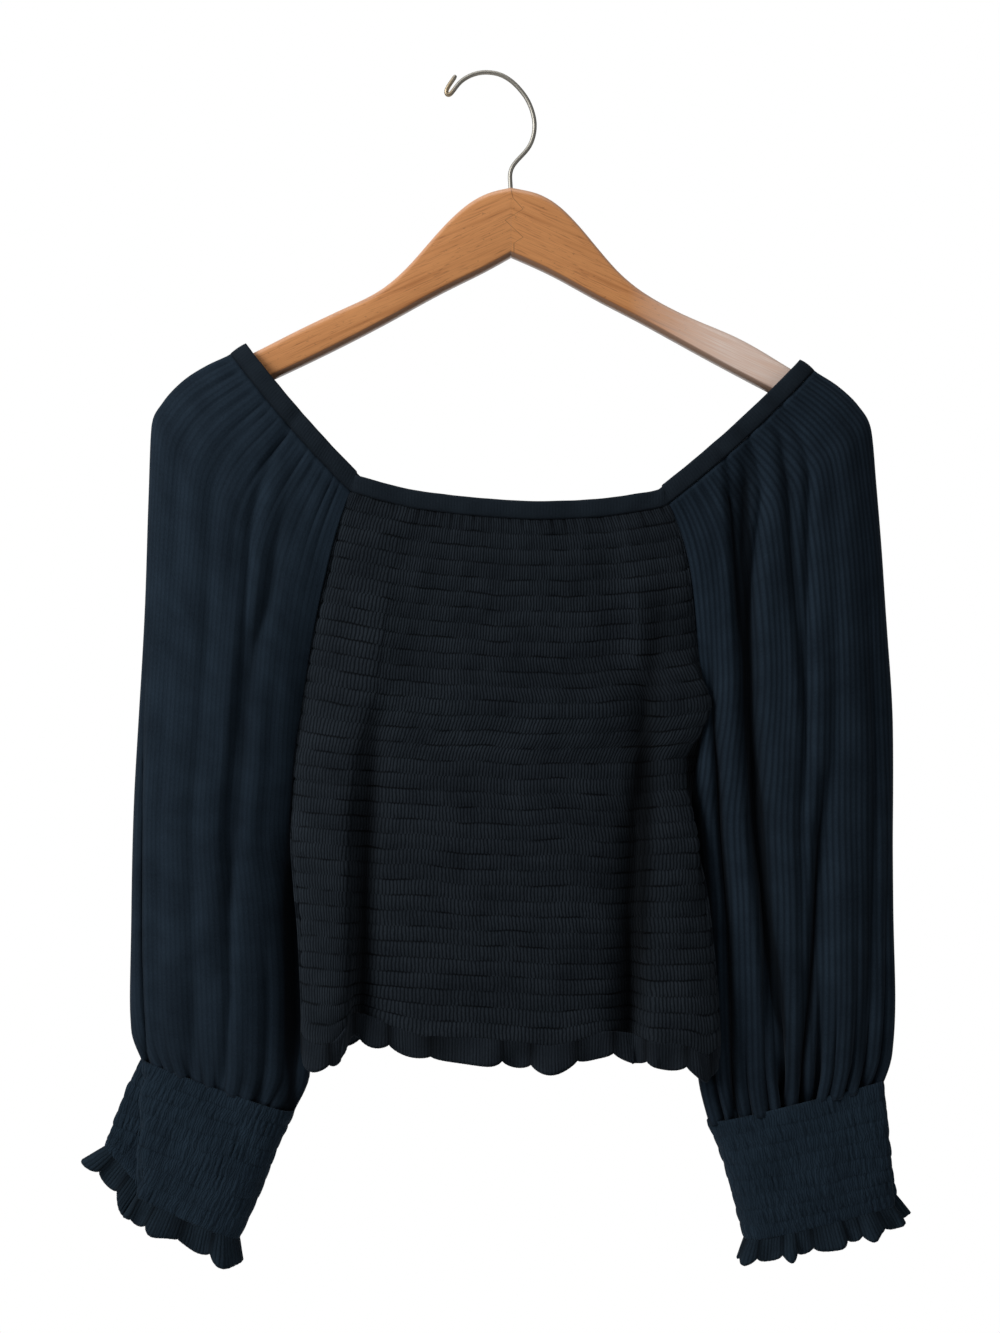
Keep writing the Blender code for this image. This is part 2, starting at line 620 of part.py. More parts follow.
def closed_curve(corners, count):
    """Points spaced evenly along a smooth closed curve through its corner points."""
    padded = np.concatenate([corners[-1:], corners, corners[:2]])
    return spaced(curve_through(padded), count + 1)[:-1]


def cuff_ring(row):
    """One ring of a cuff: inner fold, front layer, its outer edge, the fan behind, back layer."""
    ring = dict(zip(CUFF_RING_COLUMNS, row))
    corners = {
        corner: np.array([ring[corner + "_x"], 0.0, ring[corner + "_z"]])
        for corner in ("inner", "edge", "fan")
    }
    front, back = np.array([0, -ring["front"], 0]), np.array([0, ring["back"], 0])
    points = []
    for values in CUFF_POINTS:
        point = dict(zip(CUFF_POINT_COLUMNS, values))
        start, end = corners[point["start"]], corners[point["end"]]
        share = np.array([point["across"], 0, point["down"]])
        points.append(start + share * (end - start) + point["front"] * front + point["back"] * back)
    return np.array(points)


def cuff_top(sleeve_row):
    """A cuff's first ring, on the line of the sleeve's last one."""
    ring = dict(zip(SLEEVE_COLUMNS, sleeve_row))
    seam = np.array([ring["seam_x"], ring["seam_z"]])
    outer = np.array([ring["outer_x"], ring["outer_z"]])
    return (*seam, *(seam + 0.99 * (outer - seam)), *outer, ring["half_depth"], ring["half_depth"])


def cuff_sheet(sleeve_rows, rows, outward):
    """A cuff from the sleeve's last ring down to its ruffle."""
    lines = 2 * CUFF_SMOCKING_ROWS + 1
    rows = (cuff_top(sleeve_rows[-1]), *rows)
    rings = np.array([closed_curve(cuff_ring(row), CUFF_COLUMNS) for row in rows])
    stops = np.linspace(0, 1, len(rows))
    levels = np.linspace(0, 1, lines)
    points = np.empty((lines, CUFF_COLUMNS, 3))
    for c in range(CUFF_COLUMNS):
        for k in range(3):
            points[:, c, k] = smooth(stops, rings[:, c, k], levels)
    normals = sheet_normals(points, 0, outward)
    for line in (0, -1):
        around = np.roll(points[line], -1, axis=0) - np.roll(points[line], 1, axis=0)
        normals[line] = unit(np.cross(around, (0, 0, -1))) * outward
    return Sheet(points, normals)


def cuff_relief(sheet):
    """Rows of shirring round a cuff."""
    lines, columns = sheet.points.shape[:2]
    return CUFF_RELIEF * (np.arange(lines) % 2)[:, None] * np.ones((1, columns))


def cuff_fall(sheet):
    """Which way a cuff's ruffle falls: on along the cuff, and out towards its two folds."""
    end = sheet.points[-1]
    along = unit((end - sheet.points[-1 - CUFF_FALL_ROWS]).mean(axis=0))
    aside = unit(np.cross(along, (0, 1, 0)))
    place = (end - end.mean(axis=0)) @ aside
    return unit(along + CUFF_FLARE * (place / np.abs(place).max())[:, None] * aside)


def subdivided(rows, step):
    """Closed rows of vectors, the first of them points, split where the points lie over `step` apart."""
    points = rows[0]
    places = []
    for k in range(len(points)):
        parts = max(1, round(np.linalg.norm(points[(k + 1) % len(points)] - points[k]) / step))
        places.extend(k + np.arange(parts) / parts)
    places = np.array(places)
    first = places.astype(int)
    share = (places - first)[:, None]
    return [row[first] * (1 - share) + np.roll(row, -1, axis=0)[first] * share for row in rows]


def ruffle(name, row, normals, fall, wave, height, depth, finish):
    """A rolled edge that falls on from the cloth above it and waves more towards its free side."""
    row, normals, fall = subdivided((row, normals, fall), wave / WAVE_STEPS)
    normals, fall = unit(normals), unit(fall)
    around = lengths_along(np.concatenate([row, row[:1]]))
    turns = 2 * np.pi * round(around[-1] / wave) * around[:-1] / around[-1]
    swing = WAVE_LEAN + np.sin(turns) + WAVE_UNEVENNESS * np.sin(2 * turns + 1.0)
    points = []
    for level in RUFFLE_LEVELS:
        ring = row + normals * (depth * level**WAVE_GROWTH * swing)[:, None]
        ring += fall * (SEAM_GAP + level * height * (1 + WAVE_DROP * np.cos(turns)))[:, None]
        points.append(ring)
    sheet = Sheet(np.array(points), np.stack([normals] * len(points)))
    plain = np.zeros(sheet.points.shape[:2])
    return cloth_wall(name, sheet, RUFFLE_WALL, plain, finish, closed_from=0)


# ---- hanger


def wood_section(x, top, bottom, fullness):
    """A rounded upright section of a hanger arm."""
    half = WOOD_HALF_THICKNESS * fullness
    corner = WOOD_CORNER * fullness
    cut = WOOD_CORNER_CUT * corner
    upper = [(-half, -corner), (-half + cut, -cut), (-half + corner, 0.0)]
    outline = [(y, top + z) for y, z in upper] + [(-y, top + z) for y, z in upper[::-1]]
    outline += [(-y, bottom - z) for y, z in upper] + [(y, bottom - z) for y, z in upper[::-1]]
    return [(x, y, z) for y, z in outline]


def hanger_arm(name, rows, finish):
    mesh = bmesh.new()
    rings = [[mesh.verts.new(point) for point in wood_section(*row)] for row in rows]
    for first, second in zip(rings, rings[1:]):
        fill_between(mesh, first + first[:1], second + second[:1])
    mesh.faces.new(rings[0])
    mesh.faces.new(rings[-1])
    return add_object(name, mesh, finish)


def shank_cutter():
    """The bore that the hook's shank sits in, half in each arm."""
    mesh = bmesh.new()
    radius = WIRE_RADIUS + WIRE_CLEARANCE
    bmesh.ops.create_cone(
        mesh, cap_ends=True, segments=12, radius1=radius, radius2=radius, depth=2 * BORE_DEPTH
    )
    cutter = add_object("shank_bore", mesh, material("bore", (0.5, 0.5, 0.5), 0.5))
    cutter.location = (JOINT_X, 0.0, LEFT_ARM[0][1])
    cutter.hide_render = True
    cutter.display_type = "WIRE"
    return cutter


def hook(finish):
    """The steel hook, a wire along a smooth curve through its route."""
    route = table(HOOK_COLUMNS, HOOK_ROUTE)
    flat = np.stack([route["x"], np.zeros(len(HOOK_ROUTE)), route["z"]], axis=1)
    first, last = 2 * flat[0] - flat[1], 2 * flat[-1] - flat[-2]
    wire = spaced(curve_through(np.concatenate([[first], flat, [last]])), HOOK_POINTS)
    curve = bpy.data.curves.new("hook", "CURVE")
    curve.dimensions = "3D"
    curve.bevel_depth = WIRE_RADIUS
    curve.bevel_resolution = 2
    curve.use_fill_caps = True
    spline = curve.splines.new("POLY")
    spline.points.add(HOOK_POINTS - 1)
    for point, place in zip(spline.points, wire):
        point.co = (*place, 1.0)
    curve.materials.append(finish)
    made = bpy.data.objects.new("hook", curve)
    bpy.context.scene.collection.objects.link(made)
    return made


def main():
    for old in list(bpy.data.objects):
        bpy.data.objects.remove(old)

    knit = material("black_rib_knit", (0.012, 0.016, 0.022), 0.85)
    smocked = material("black_smocked_knit", (0.010, 0.013, 0.017), 0.88)
    band = material("black_binding", (0.009, 0.012, 0.015), 0.80)
    frill = material("black_rolled_edge", (0.012, 0.017, 0.022), 0.85)
    beech = material("lacquered_beech", (0.50, 0.26, 0.13), 0.42)
    steel = material("bright_steel", (0.60, 0.58, 0.54), 0.25, metallic=1.0)

    cutter = shank_cutter()
    for name, rows in (("hanger_arm_left", LEFT_ARM), ("hanger_arm_right", RIGHT_ARM)):
        arm = hanger_arm(name, rows, beech)
        bore = arm.modifiers.new("bore", "BOOLEAN")
        bore.object = cutter
    hook(steel)

    sleeves, edges = [], []
    for side, rows, folds, outward in (
        ("left", LEFT_SLEEVE, LEFT_FOLDS, 1),
        ("right", RIGHT_SLEEVE, RIGHT_FOLDS, -1),
    ):
        edge, sheet = sleeve_sheet(rows, folds, outward)
        sleeves.append(sheet)
        edges.append(edge)
        closed_from = ARMPIT_ROW - NECK_SEAM_ROW
        cloth_wall(
            f"sleeve_{side}", sheet, SLEEVE_WALL, sleeve_relief(sheet), knit, closed_from
        )
    left, right = sleeves

    panels = []
    for name, rows, column, facing in (
        ("front", FRONT_PANEL, 0, -1),
        ("back", BACK_PANEL, -1, 1),
    ):
        sheet = panel_sheet(rows, left.points[:, column], right.points[:, column], facing)
        panels.append(sheet)
        relief = smocking_relief(sheet)
        cloth_wall(name, sheet, PANEL_WALL, relief, smocked, inner_step=PANEL_INNER_STEP)

    neck_binding(panels, edges, sleeves, band)

    for side, sleeve_rows, rows, outward in (
        ("left", LEFT_SLEEVE, LEFT_CUFF, 1),
        ("right", RIGHT_SLEEVE, RIGHT_CUFF, -1),
    ):
        sheet = cuff_sheet(sleeve_rows, rows, outward)
        sheet.points[..., 2] -= CUFF_SEAM_GAP
        relief = cuff_relief(sheet)
        cloth_wall(f"cuff_{side}", sheet, CUFF_WALL, relief, smocked, 0, CUFF_INNER_STEP)
        ruffle(
            f"cuff_ruffle_{side}", sheet.points[-1], sheet.normals[-1], cuff_fall(sheet),
            CUFF_WAVE, CUFF_RUFFLE_HEIGHT, CUFF_WAVE_DEPTH, frill,
        )

    front, back = panels
    hem = np.concatenate([front.points[-1], back.points[-1][::-1]])
    hem_normals = np.concatenate([front.normals[-1], back.normals[-1][::-1]])
    straight_down = np.zeros_like(hem) - (0, 0, 1)
    ruffle(
        "hem_ruffle", hem, hem_normals, straight_down,
        HEM_WAVE, HEM_RUFFLE_HEIGHT, HEM_WAVE_DEPTH, frill,
    )


main()
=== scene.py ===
"""Dresses a puff sleeve blouse and the wooden hanger that it hangs on.

Everything is in metres. The origin is where the hook rests on its rail, +Z is up,
+X is to the right of someone who faces the blouse, and the front faces -Y.

Each cut piece is a fine grid of points laid on the form of its solid. The rows of
shirring, the folds and the gathers are in those points. One Geometry Nodes tree then
raises the ribs of the knit, and another rolls the ruffles' edges.
"""

from __future__ import annotations

import logging
import math
from dataclasses import dataclass
from enum import Enum
from typing import Any

import bmesh
import bpy
import numpy as np
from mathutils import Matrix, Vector

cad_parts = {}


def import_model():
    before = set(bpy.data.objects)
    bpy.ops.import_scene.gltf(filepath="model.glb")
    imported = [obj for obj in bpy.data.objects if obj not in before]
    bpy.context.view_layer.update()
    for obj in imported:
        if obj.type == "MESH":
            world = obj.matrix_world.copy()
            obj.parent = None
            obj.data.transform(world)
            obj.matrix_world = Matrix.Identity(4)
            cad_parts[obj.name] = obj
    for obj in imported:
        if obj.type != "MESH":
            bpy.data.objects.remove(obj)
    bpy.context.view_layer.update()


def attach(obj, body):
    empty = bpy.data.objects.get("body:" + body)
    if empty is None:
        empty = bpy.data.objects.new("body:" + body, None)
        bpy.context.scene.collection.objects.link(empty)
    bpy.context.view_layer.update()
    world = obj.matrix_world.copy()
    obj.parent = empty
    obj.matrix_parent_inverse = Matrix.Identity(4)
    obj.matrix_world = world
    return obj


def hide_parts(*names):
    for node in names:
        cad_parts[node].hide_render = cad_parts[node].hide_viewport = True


LOG = logging.getLogger("blouse")
BODY = "root"
CLOTH_MAP = "cloth"
RIB_TURNS = "rib_turns"
RIB_RISE = "rib_rise"
THREAD_ROWS = "thread_rows"
# painted shade: a point mark, 0 to 1, that darkens the cloth's colour in creases, gathers, pinches
# and folded-back edges
SHADE = "shade"
RIM = "rim"
MADE = "_made"

Array = np.ndarray
Row = tuple[float, ...]
Station = tuple[float, float, float]
Creases = tuple[tuple[float, tuple[Station, ...]], ...]
Color = tuple[float, float, float]
Piece = bpy.types.Object
Scale = float | tuple[float, float, float]


class Facing(Enum):
    """Which side of the blouse a panel is on, as the sign of its Y."""

    FRONT = -1
    BACK = 1


class Hand(Enum):
    """Which sleeve a piece belongs to, as the sign of its outward turn."""

    LEFT = 1
    RIGHT = -1


class Held(Enum):
    """How a cut piece is held, as the frame names it."""

    GATHERED = "gathered"
    HUNG = "hung"


# ---- tables: the same stations as the solids

ARM_COLUMNS = ("x", "top", "bottom", "fullness")
LEFT_ARM: tuple[Row, ...] = (
    (0.0094, -0.0730, -0.1171, 1.0),
    (-0.0080, -0.0768, -0.1270, 1.0),
    (-0.0220, -0.0865, -0.1337, 1.0),
    (-0.0360, -0.1000, -0.1407, 1.0),
    (-0.0490, -0.1158, -0.1478, 1.0),
    (-0.0630, -0.1306, -0.1557, 1.0),
    (-0.0760, -0.1404, -0.1627, 1.0),
    (-0.0950, -0.1492, -0.1725, 1.0),
    (-0.1260, -0.1639, -0.1877, 1.0),
    (-0.1550, -0.1787, -0.2008, 1.0),
    (-0.1850, -0.1930, -0.2125, 0.95),
    (-0.1970, -0.2000, -0.2160, 0.8),
    (-0.2020, -0.2060, -0.2150, 0.5),
)
RIGHT_ARM: tuple[Row, ...] = (
    (0.0098, -0.0730, -0.1171, 1.0),
    (0.0310, -0.0775, -0.1264, 1.0),
    (0.0450, -0.0885, -0.1337, 1.0),
    (0.0590, -0.1040, -0.1417, 1.0),
    (0.0730, -0.1218, -0.1492, 1.0),
    (0.0870, -0.1352, -0.1562, 1.0),
    (0.1075, -0.1480, -0.1674, 1.0),
    (0.1230, -0.1556, -0.1760, 1.0),
    (0.1560, -0.1696, -0.1938, 1.0),
    (0.1890, -0.1893, -0.2107, 1.0),
    (0.2080, -0.2008, -0.2190, 0.9),
    (0.2170, -0.2085, -0.2225, 0.75),
    (0.2220, -0.2145, -0.2220, 0.5),
)
JOINT_X = 0.0096
HOOK_COLUMNS = ("x", "z")
HOOK_ROUTE: tuple[Row, ...] = (
    (0.0096, -0.0885),
    (0.0094, -0.0720),
    (0.0090, -0.0640),
    (0.0115, -0.0575),
    (0.0218, -0.0454),
    (0.0248, -0.0320),
    (0.0212, -0.0182),
    (0.0134, -0.0074),
    (0.0045, -0.0008),
    (-0.0050, 0.0014),
    (-0.0141, 0.0002),
    (-0.0222, -0.0042),
    (-0.0276, -0.0108),
    (-0.0301, -0.0138),
    (-0.0322, -0.0124),
    (-0.0313, -0.0090),
    (-0.0274, -0.0032),
    (-0.0257, -0.0006),
)

# One row for each ring of a sleeve, from the neck's edge to the cuff seam
SLEEVE_COLUMNS = (
    "seam_x", "seam_z", "outer_x", "outer_z", "half_depth", "start", "sag", "seam_y",
)
LEFT_SLEEVE: tuple[Row, ...] = (
    (-0.0862, -0.2578, -0.1594, -0.1735, 0.0175, 0.3000, 0.0028, 0.0),
    (-0.0915, -0.2690, -0.1690, -0.1800, 0.0180, 0.3000, 0.0032, 0.0),
    (-0.0975, -0.2850, -0.1840, -0.1872, 0.0190, 0.2400, 0.0040, 0.0),
    (-0.1030, -0.3030, -0.1990, -0.1968, 0.0205, 0.1700, 0.0030, 0.0),
    (-0.1080, -0.3230, -0.2120, -0.2105, 0.0215, 0.1100, 0.0010, 0.0),
    (-0.1135, -0.3460, -0.2190, -0.2240, 0.0220, 0.0650, 0.0000, 0.0),
    (-0.1190, -0.3730, -0.2212, -0.2720, 0.0225, 0.0320, 0.0000, 0.0),
    (-0.1245, -0.4060, -0.2234, -0.3360, 0.0225, 0.0120, 0.0000, 0.0),
    (-0.1300, -0.4500, -0.2271, -0.4100, 0.0220, 0.0009, 0.0000, 0.0),
    (-0.1318, -0.4860, -0.2301, -0.4700, 0.0220, 0.0040, 0.0000, 0.0055),
    (-0.1250, -0.5350, -0.2321, -0.5300, 0.0215, 0.0060, 0.0000, 0.0110),
    (-0.1205, -0.5930, -0.2332, -0.5860, 0.0200, 0.0060, 0.0020, 0.0110),
    (-0.1208, -0.6400, -0.2322, -0.6100, 0.0165, 0.0080, 0.0020, 0.0070),
    (-0.1302, -0.6630, -0.2245, -0.6290, 0.0110, 0.0100, 0.0000, 0.0),
)
RIGHT_SLEEVE: tuple[Row, ...] = (
    (0.1030, -0.2662, 0.1939, -0.1838, 0.0175, 0.3000, 0.0032, 0.0),
    (0.1085, -0.2765, 0.2027, -0.1904, 0.0180, 0.3000, 0.0036, 0.0),
    (0.1150, -0.2900, 0.2173, -0.2002, 0.0190, 0.2400, 0.0040, 0.0),
    (0.1200, -0.3060, 0.2303, -0.2130, 0.0205, 0.1700, 0.0030, 0.0),
    (0.1235, -0.3230, 0.2380, -0.2255, 0.0215, 0.1100, 0.0010, 0.0),
    (0.1262, -0.3440, 0.2424, -0.2620, 0.0225, 0.0650, 0.0000, 0.0),
    (0.1285, -0.3680, 0.2467, -0.3110, 0.0230, 0.0320, 0.0000, 0.0),
    (0.1310, -0.4000, 0.2491, -0.3640, 0.0235, 0.0120, 0.0000, 0.0),
    (0.1290, -0.4400, 0.2519, -0.4200, 0.0235, 0.0009, 0.0000, 0.0),
    (0.1240, -0.4800, 0.2532, -0.4760, 0.0235, 0.0040, 0.0000, 0.0085),
    (0.1275, -0.5350, 0.2534, -0.5320, 0.0225, 0.0060, 0.0000, 0.0120),
    (0.1285, -0.5950, 0.2545, -0.5900, 0.0205, 0.0060, 0.0000, 0.0130),
    (0.1297, -0.6420, 0.2535, -0.6230, 0.0170, 0.0080, 0.0020, 0.0090),
    (0.1362, -0.6690, 0.2464, -0.6420, 0.0120, 0.0100, 0.0000, 0.0),
)
NECK_SEAM_ROW = 1
ARMPIT_ROW = 8

# One row for each fold of a sleeve: where it lies across at the neck, halfway and at the
# cuff, how deep it is there, its half width, and whether it is on the front or the back
FOLD_COLUMNS = (
    "top", "middle", "low", "top_depth", "middle_depth", "low_depth", "width", "front",
)
LEFT_FOLDS: tuple[Row, ...] = (
    (0.50, 0.36, 0.47, 0.0020, 0.0060, 0.0045, 0.035, 1),
    (0.26, 0.14, 0.22, 0.0012, 0.0030, 0.0040, 0.045, 1),
    (0.70, 0.58, 0.66, 0.0015, 0.0028, 0.0032, 0.050, 1),
    (0.86, 0.80, 0.84, 0.0010, 0.0022, 0.0030, 0.040, 1),
    (0.94, 0.935, 0.93, 0.0000, 0.0030, 0.0030, 0.020, 1),
    (0.40, 0.30, 0.35, 0.0015, 0.0048, 0.0040, 0.040, 0),
    (0.62, 0.55, 0.60, 0.0012, 0.0032, 0.0035, 0.050, 0),
    (0.82, 0.78, 0.82, 0.0010, 0.0028, 0.0030, 0.045, 0),
)
RIGHT_FOLDS: tuple[Row, ...] = (
    (0.54, 0.27, 0.43, 0.0030, 0.0075, 0.0055, 0.035, 1),
    (0.76, 0.55, 0.50, 0.0026, 0.0040, 0.0000, 0.032, 1),
    (0.38, 0.20, 0.28, 0.0022, 0.0020, 0.0000, 0.030, 1),
    (0.20, 0.09, 0.20, 0.0000, 0.0026, 0.0045, 0.035, 1),
    (0.88, 0.70, 0.58, 0.0000, 0.0022, 0.0050, 0.045, 1),
    (0.94, 0.90, 0.90, 0.0010, 0.0022, 0.0030, 0.030, 1),
    (0.45, 0.33, 0.38, 0.0018, 0.0052, 0.0045, 0.040, 0),
    (0.68, 0.60, 0.62, 0.0012, 0.0034, 0.0035, 0.050, 0),
    (0.86, 0.82, 0.84, 0.0010, 0.0028, 0.0030, 0.045, 0),
)

SIDE_COLUMNS = ("z", "left_x", "right_x", "y")
SIDE_SEAMS: tuple[Row, ...] = (
    (-0.4400, -0.1284, 0.1276, 0.0),
    (-0.4620, -0.1292, 0.1240, 0.0),
    (-0.4850, -0.1298, 0.1255, -0.0060),
    (-0.5200, -0.1270, 0.1325, -0.0125),
    (-0.5500, -0.1240, 0.1360, -0.0155),
    (-0.6050, -0.1220, 0.1405, -0.0165),
    (-0.6300, -0.1220, 0.1412, -0.0165),
)

# One row for each column of a panel: where it lies across at the neck and at the hem, how
# far it stands out at the neck, at the armpits and at the hem, and its two ends' heights
PANEL_COLUMNS = (
    "top_across", "low_across", "top_out", "middle_out", "low_out",
    "edge_z", "seam_z", "hem_z",
)
FRONT_PANEL: tuple[Row, ...] = (
    (0.000, 0.000, 0.0175, 0.0020, 0.0165, -0.2578, -0.2690, -0.6100),
    (0.014, 0.014, 0.0180, 0.0080, 0.0220, -0.2586, -0.2698, -0.6140),
    (0.045, 0.040, 0.0185, 0.0130, 0.0260, -0.2604, -0.2716, -0.6155),
    (0.100, 0.072, 0.0190, 0.0170, 0.0285, -0.2636, -0.2748, -0.6145),
    (0.165, 0.100, 0.0190, 0.0200, 0.0280, -0.2668, -0.2780, -0.6075),
    (0.190, 0.116, 0.0190, 0.0180, 0.0170, -0.2680, -0.2792, -0.5990),
    (0.220, 0.142, 0.0190, 0.0165, 0.0110, -0.2690, -0.2802, -0.6000),
    (0.260, 0.195, 0.0190, 0.0172, 0.0140, -0.2700, -0.2812, -0.6040),
    (0.350, 0.310, 0.0195, 0.0185, 0.0185, -0.2722, -0.2834, -0.6120),
    (0.470, 0.460, 0.0200, 0.0195, 0.0200, -0.2743, -0.2855, -0.6135),
    (0.590, 0.600, 0.0200, 0.0195, 0.0198, -0.2754, -0.2866, -0.6175),
    (0.700, 0.720, 0.0195, 0.0180, 0.0165, -0.2748, -0.2860, -0.6100),
    (0.790, 0.795, 0.0190, 0.0145, 0.0100, -0.2736, -0.2848, -0.6130),
    (0.825, 0.822, 0.0190, 0.0165, 0.0190, -0.2728, -0.2840, -0.6145),
    (0.855, 0.848, 0.0190, 0.0195, 0.0285, -0.2720, -0.2832, -0.6140),
    (0.915, 0.915, 0.0185, 0.0170, 0.0290, -0.2700, -0.2812, -0.6155),
    (0.965, 0.965, 0.0180, 0.0125, 0.0250, -0.2682, -0.2794, -0.6230),
    (0.988, 0.988, 0.0178, 0.0080, 0.0220, -0.2668, -0.2780, -0.6190),
    (1.000, 1.000, 0.0175, 0.0020, 0.0165, -0.2662, -0.2765, -0.6150),
)
BACK_PANEL: tuple[Row, ...] = (
    (0.000, 0.000, 0.0175, 0.0020, -0.0165, -0.2578, -0.2690, -0.6100),
    (0.014, 0.014, 0.0175, 0.0080, -0.0120, -0.2615, -0.2727, -0.6120),
    (0.045, 0.045, 0.0175, 0.0125, -0.0050, -0.2655, -0.2767, -0.6125),
    (0.120, 0.110, 0.0175, 0.0160, 0.0110, -0.2715, -0.2827, -0.6080),
    (0.200, 0.180, 0.0175, 0.0170, 0.0190, -0.2745, -0.2857, -0.5990),
    (0.240, 0.220, 0.0175, 0.0150, 0.0110, -0.2757, -0.2869, -0.5975),
    (0.300, 0.290, 0.0178, 0.0170, 0.0165, -0.2770, -0.2882, -0.6010),
    (0.430, 0.420, 0.0180, 0.0180, 0.0190, -0.2790, -0.2902, -0.6090),
    (0.560, 0.560, 0.0180, 0.0180, 0.0190, -0.2800, -0.2910, -0.6120),
    (0.690, 0.700, 0.0178, 0.0165, 0.0160, -0.2795, -0.2905, -0.6090),
    (0.750, 0.760, 0.0175, 0.0140, 0.0095, -0.2783, -0.2893, -0.6075),
    (0.800, 0.810, 0.0175, 0.0165, 0.0185, -0.2770, -0.2880, -0.6110),
    (0.890, 0.900, 0.0175, 0.0160, 0.0080, -0.2740, -0.2847, -0.6135),
    (0.955, 0.955, 0.0175, 0.0125, -0.0060, -0.2705, -0.2810, -0.6165),
    (0.986, 0.986, 0.0175, 0.0080, -0.0125, -0.2687, -0.2791, -0.6160),
    (1.000, 1.000, 0.0175, 0.0020, -0.0165, -0.2662, -0.2765, -0.6150),
)
MIDDLE_LEVEL = 0.48

CUFF_RING_COLUMNS = (
    "inner_x", "inner_z", "edge_x", "edge_z", "fan_x", "fan_z", "front", "back",
)
CUFF_POINT_COLUMNS = ("start", "end", "across", "down", "front", "back")
LEFT_CUFF: tuple[Row, ...] = (
    (-0.1405, -0.6850, -0.2256, -0.6560, -0.2366, -0.6520, 0.0125, 0.0120),
    (-0.1505, -0.7110, -0.2265, -0.6860, -0.2458, -0.6750, 0.0125, 0.0120),
    (-0.1652, -0.7435, -0.2280, -0.7160, -0.2506, -0.6875, 0.0105, 0.0110),
)
RIGHT_CUFF: tuple[Row, ...] = (
    (0.1462, -0.6930, 0.2480, -0.6720, 0.2494, -0.6700, 0.0140, 0.0130),
    (0.1534, -0.7190, 0.2500, -0.6990, 0.2520, -0.6960, 0.0140, 0.0130),
    (0.1600, -0.7440, 0.2522, -0.7215, 0.2555, -0.7180, 0.0120, 0.0120),
)
CUFF_POINTS: tuple[tuple[Any, ...], ...] = (
    ("inner", "edge", 0.00, 0.00, 0.00, 0.00),
    ("inner", "edge", 0.12, 0.12, 0.85, 0.00),
    ("inner", "edge", 0.50, 0.50, 1.00, 0.00),
    ("inner", "edge", 0.90, 0.90, 0.80, 0.00),
    ("inner", "edge", 1.00, 1.00, 0.55, 0.00),
    ("inner", "edge", 0.965, 0.965, 0.00, 0.05),
    ("edge", "fan", 0.40, 0.50, 0.00, 0.20),
    ("edge", "fan", 1.00, 1.00, 0.00, 0.42),
    ("inner", "fan", 0.85, 0.85, 0.00, 0.95),
    ("inner", "fan", 0.45, 0.45, 0.00, 1.00),
    ("inner", "fan", 0.10, 0.10, 0.00, 0.80),
)

# Creases placed on the front: each has a half width and a row for each station,
# with its height, where it lies across and how deep it is
LEFT_CREASES: Creases = (
    (0.0058, (
        (-0.237, -0.1237, 0.0000), (-0.303, -0.1382, 0.0030), (-0.330, -0.1420, 0.0040),
        (-0.370, -0.1526, 0.0040), (-0.407, -0.1577, 0.0040), (-0.432, -0.1595, 0.0040),
        (-0.497, -0.1658, 0.0035), (-0.545, -0.1721, 0.0010),
    )),
    (0.0019, (
        (-0.363, -0.2199, 0.0000), (-0.413, -0.2230, 0.0022), (-0.545, -0.2237, 0.0028),
        (-0.614, -0.2218, 0.0028), (-0.641, -0.2199, 0.0022),
    )),
    (0.0032, (
        (-0.545, -0.1470, 0.0000), (-0.589, -0.1457, 0.0020), (-0.627, -0.1470, 0.0025),
        (-0.645, -0.1495, 0.0020),
    )),
    (0.0070, (
        (-0.480, -0.1335, 0.0000), (-0.515, -0.1325, 0.0065), (-0.551, -0.1310, 0.0098),
        (-0.605, -0.1300, 0.0098), (-0.640, -0.1310, 0.0060),
    )),
    (0.0045, (
        (-0.564, -0.1885, 0.0000), (-0.608, -0.1897, 0.0012), (-0.652, -0.1922, 0.0012),
    )),
)
RIGHT_CREASES: Creases = (
    (0.0038, (
        (-0.212, 0.1723, 0.0000), (-0.227, 0.1773, 0.0030), (-0.269, 0.1836, 0.0040),
        (-0.303, 0.1855, 0.0040), (-0.387, 0.1924, 0.0030), (-0.438, 0.1949, 0.0000),
    )),
    (0.0058, (
        (-0.231, 0.1547, 0.0000), (-0.249, 0.1566, 0.0055), (-0.353, 0.1585, 0.0075),
        (-0.420, 0.1603, 0.0080), (-0.468, 0.1654, 0.0080), (-0.527, 0.1704, 0.0080),
        (-0.586, 0.1786, 0.0075), (-0.627, 0.1849, 0.0040),
    )),
    (0.0029, (
        (-0.237, 0.1440, 0.0000), (-0.255, 0.1453, 0.0040), (-0.286, 0.1484, 0.0050),
        (-0.336, 0.1515, 0.0040), (-0.375, 0.1534, 0.0000),
    )),
    (0.0032, (
        (-0.363, 0.1358, 0.0000), (-0.409, 0.1384, 0.0050), (-0.485, 0.1434, 0.0070),
        (-0.552, 0.1484, 0.0070), (-0.636, 0.1515, 0.0050),
    )),
    (0.0038, (
        (-0.438, 0.2075, 0.0000), (-0.485, 0.2037, 0.0050), (-0.586, 0.1987, 0.0070),
        (-0.633, 0.1949, 0.0050),
    )),
    (0.0038, (
        (-0.338, 0.2364, 0.0000), (-0.438, 0.2389, 0.0025), (-0.545, 0.2364, 0.0030),
        (-0.614, 0.2326, 0.0030),
    )),
    (0.0038, (
        (-0.422, 0.1220, 0.0000), (-0.444, 0.1245, 0.0050), (-0.482, 0.1296, 0.0070),
        (-0.526, 0.1333, 0.0070), (-0.564, 0.1358, 0.0060), (-0.614, 0.1384, 0.0030),
    )),
)
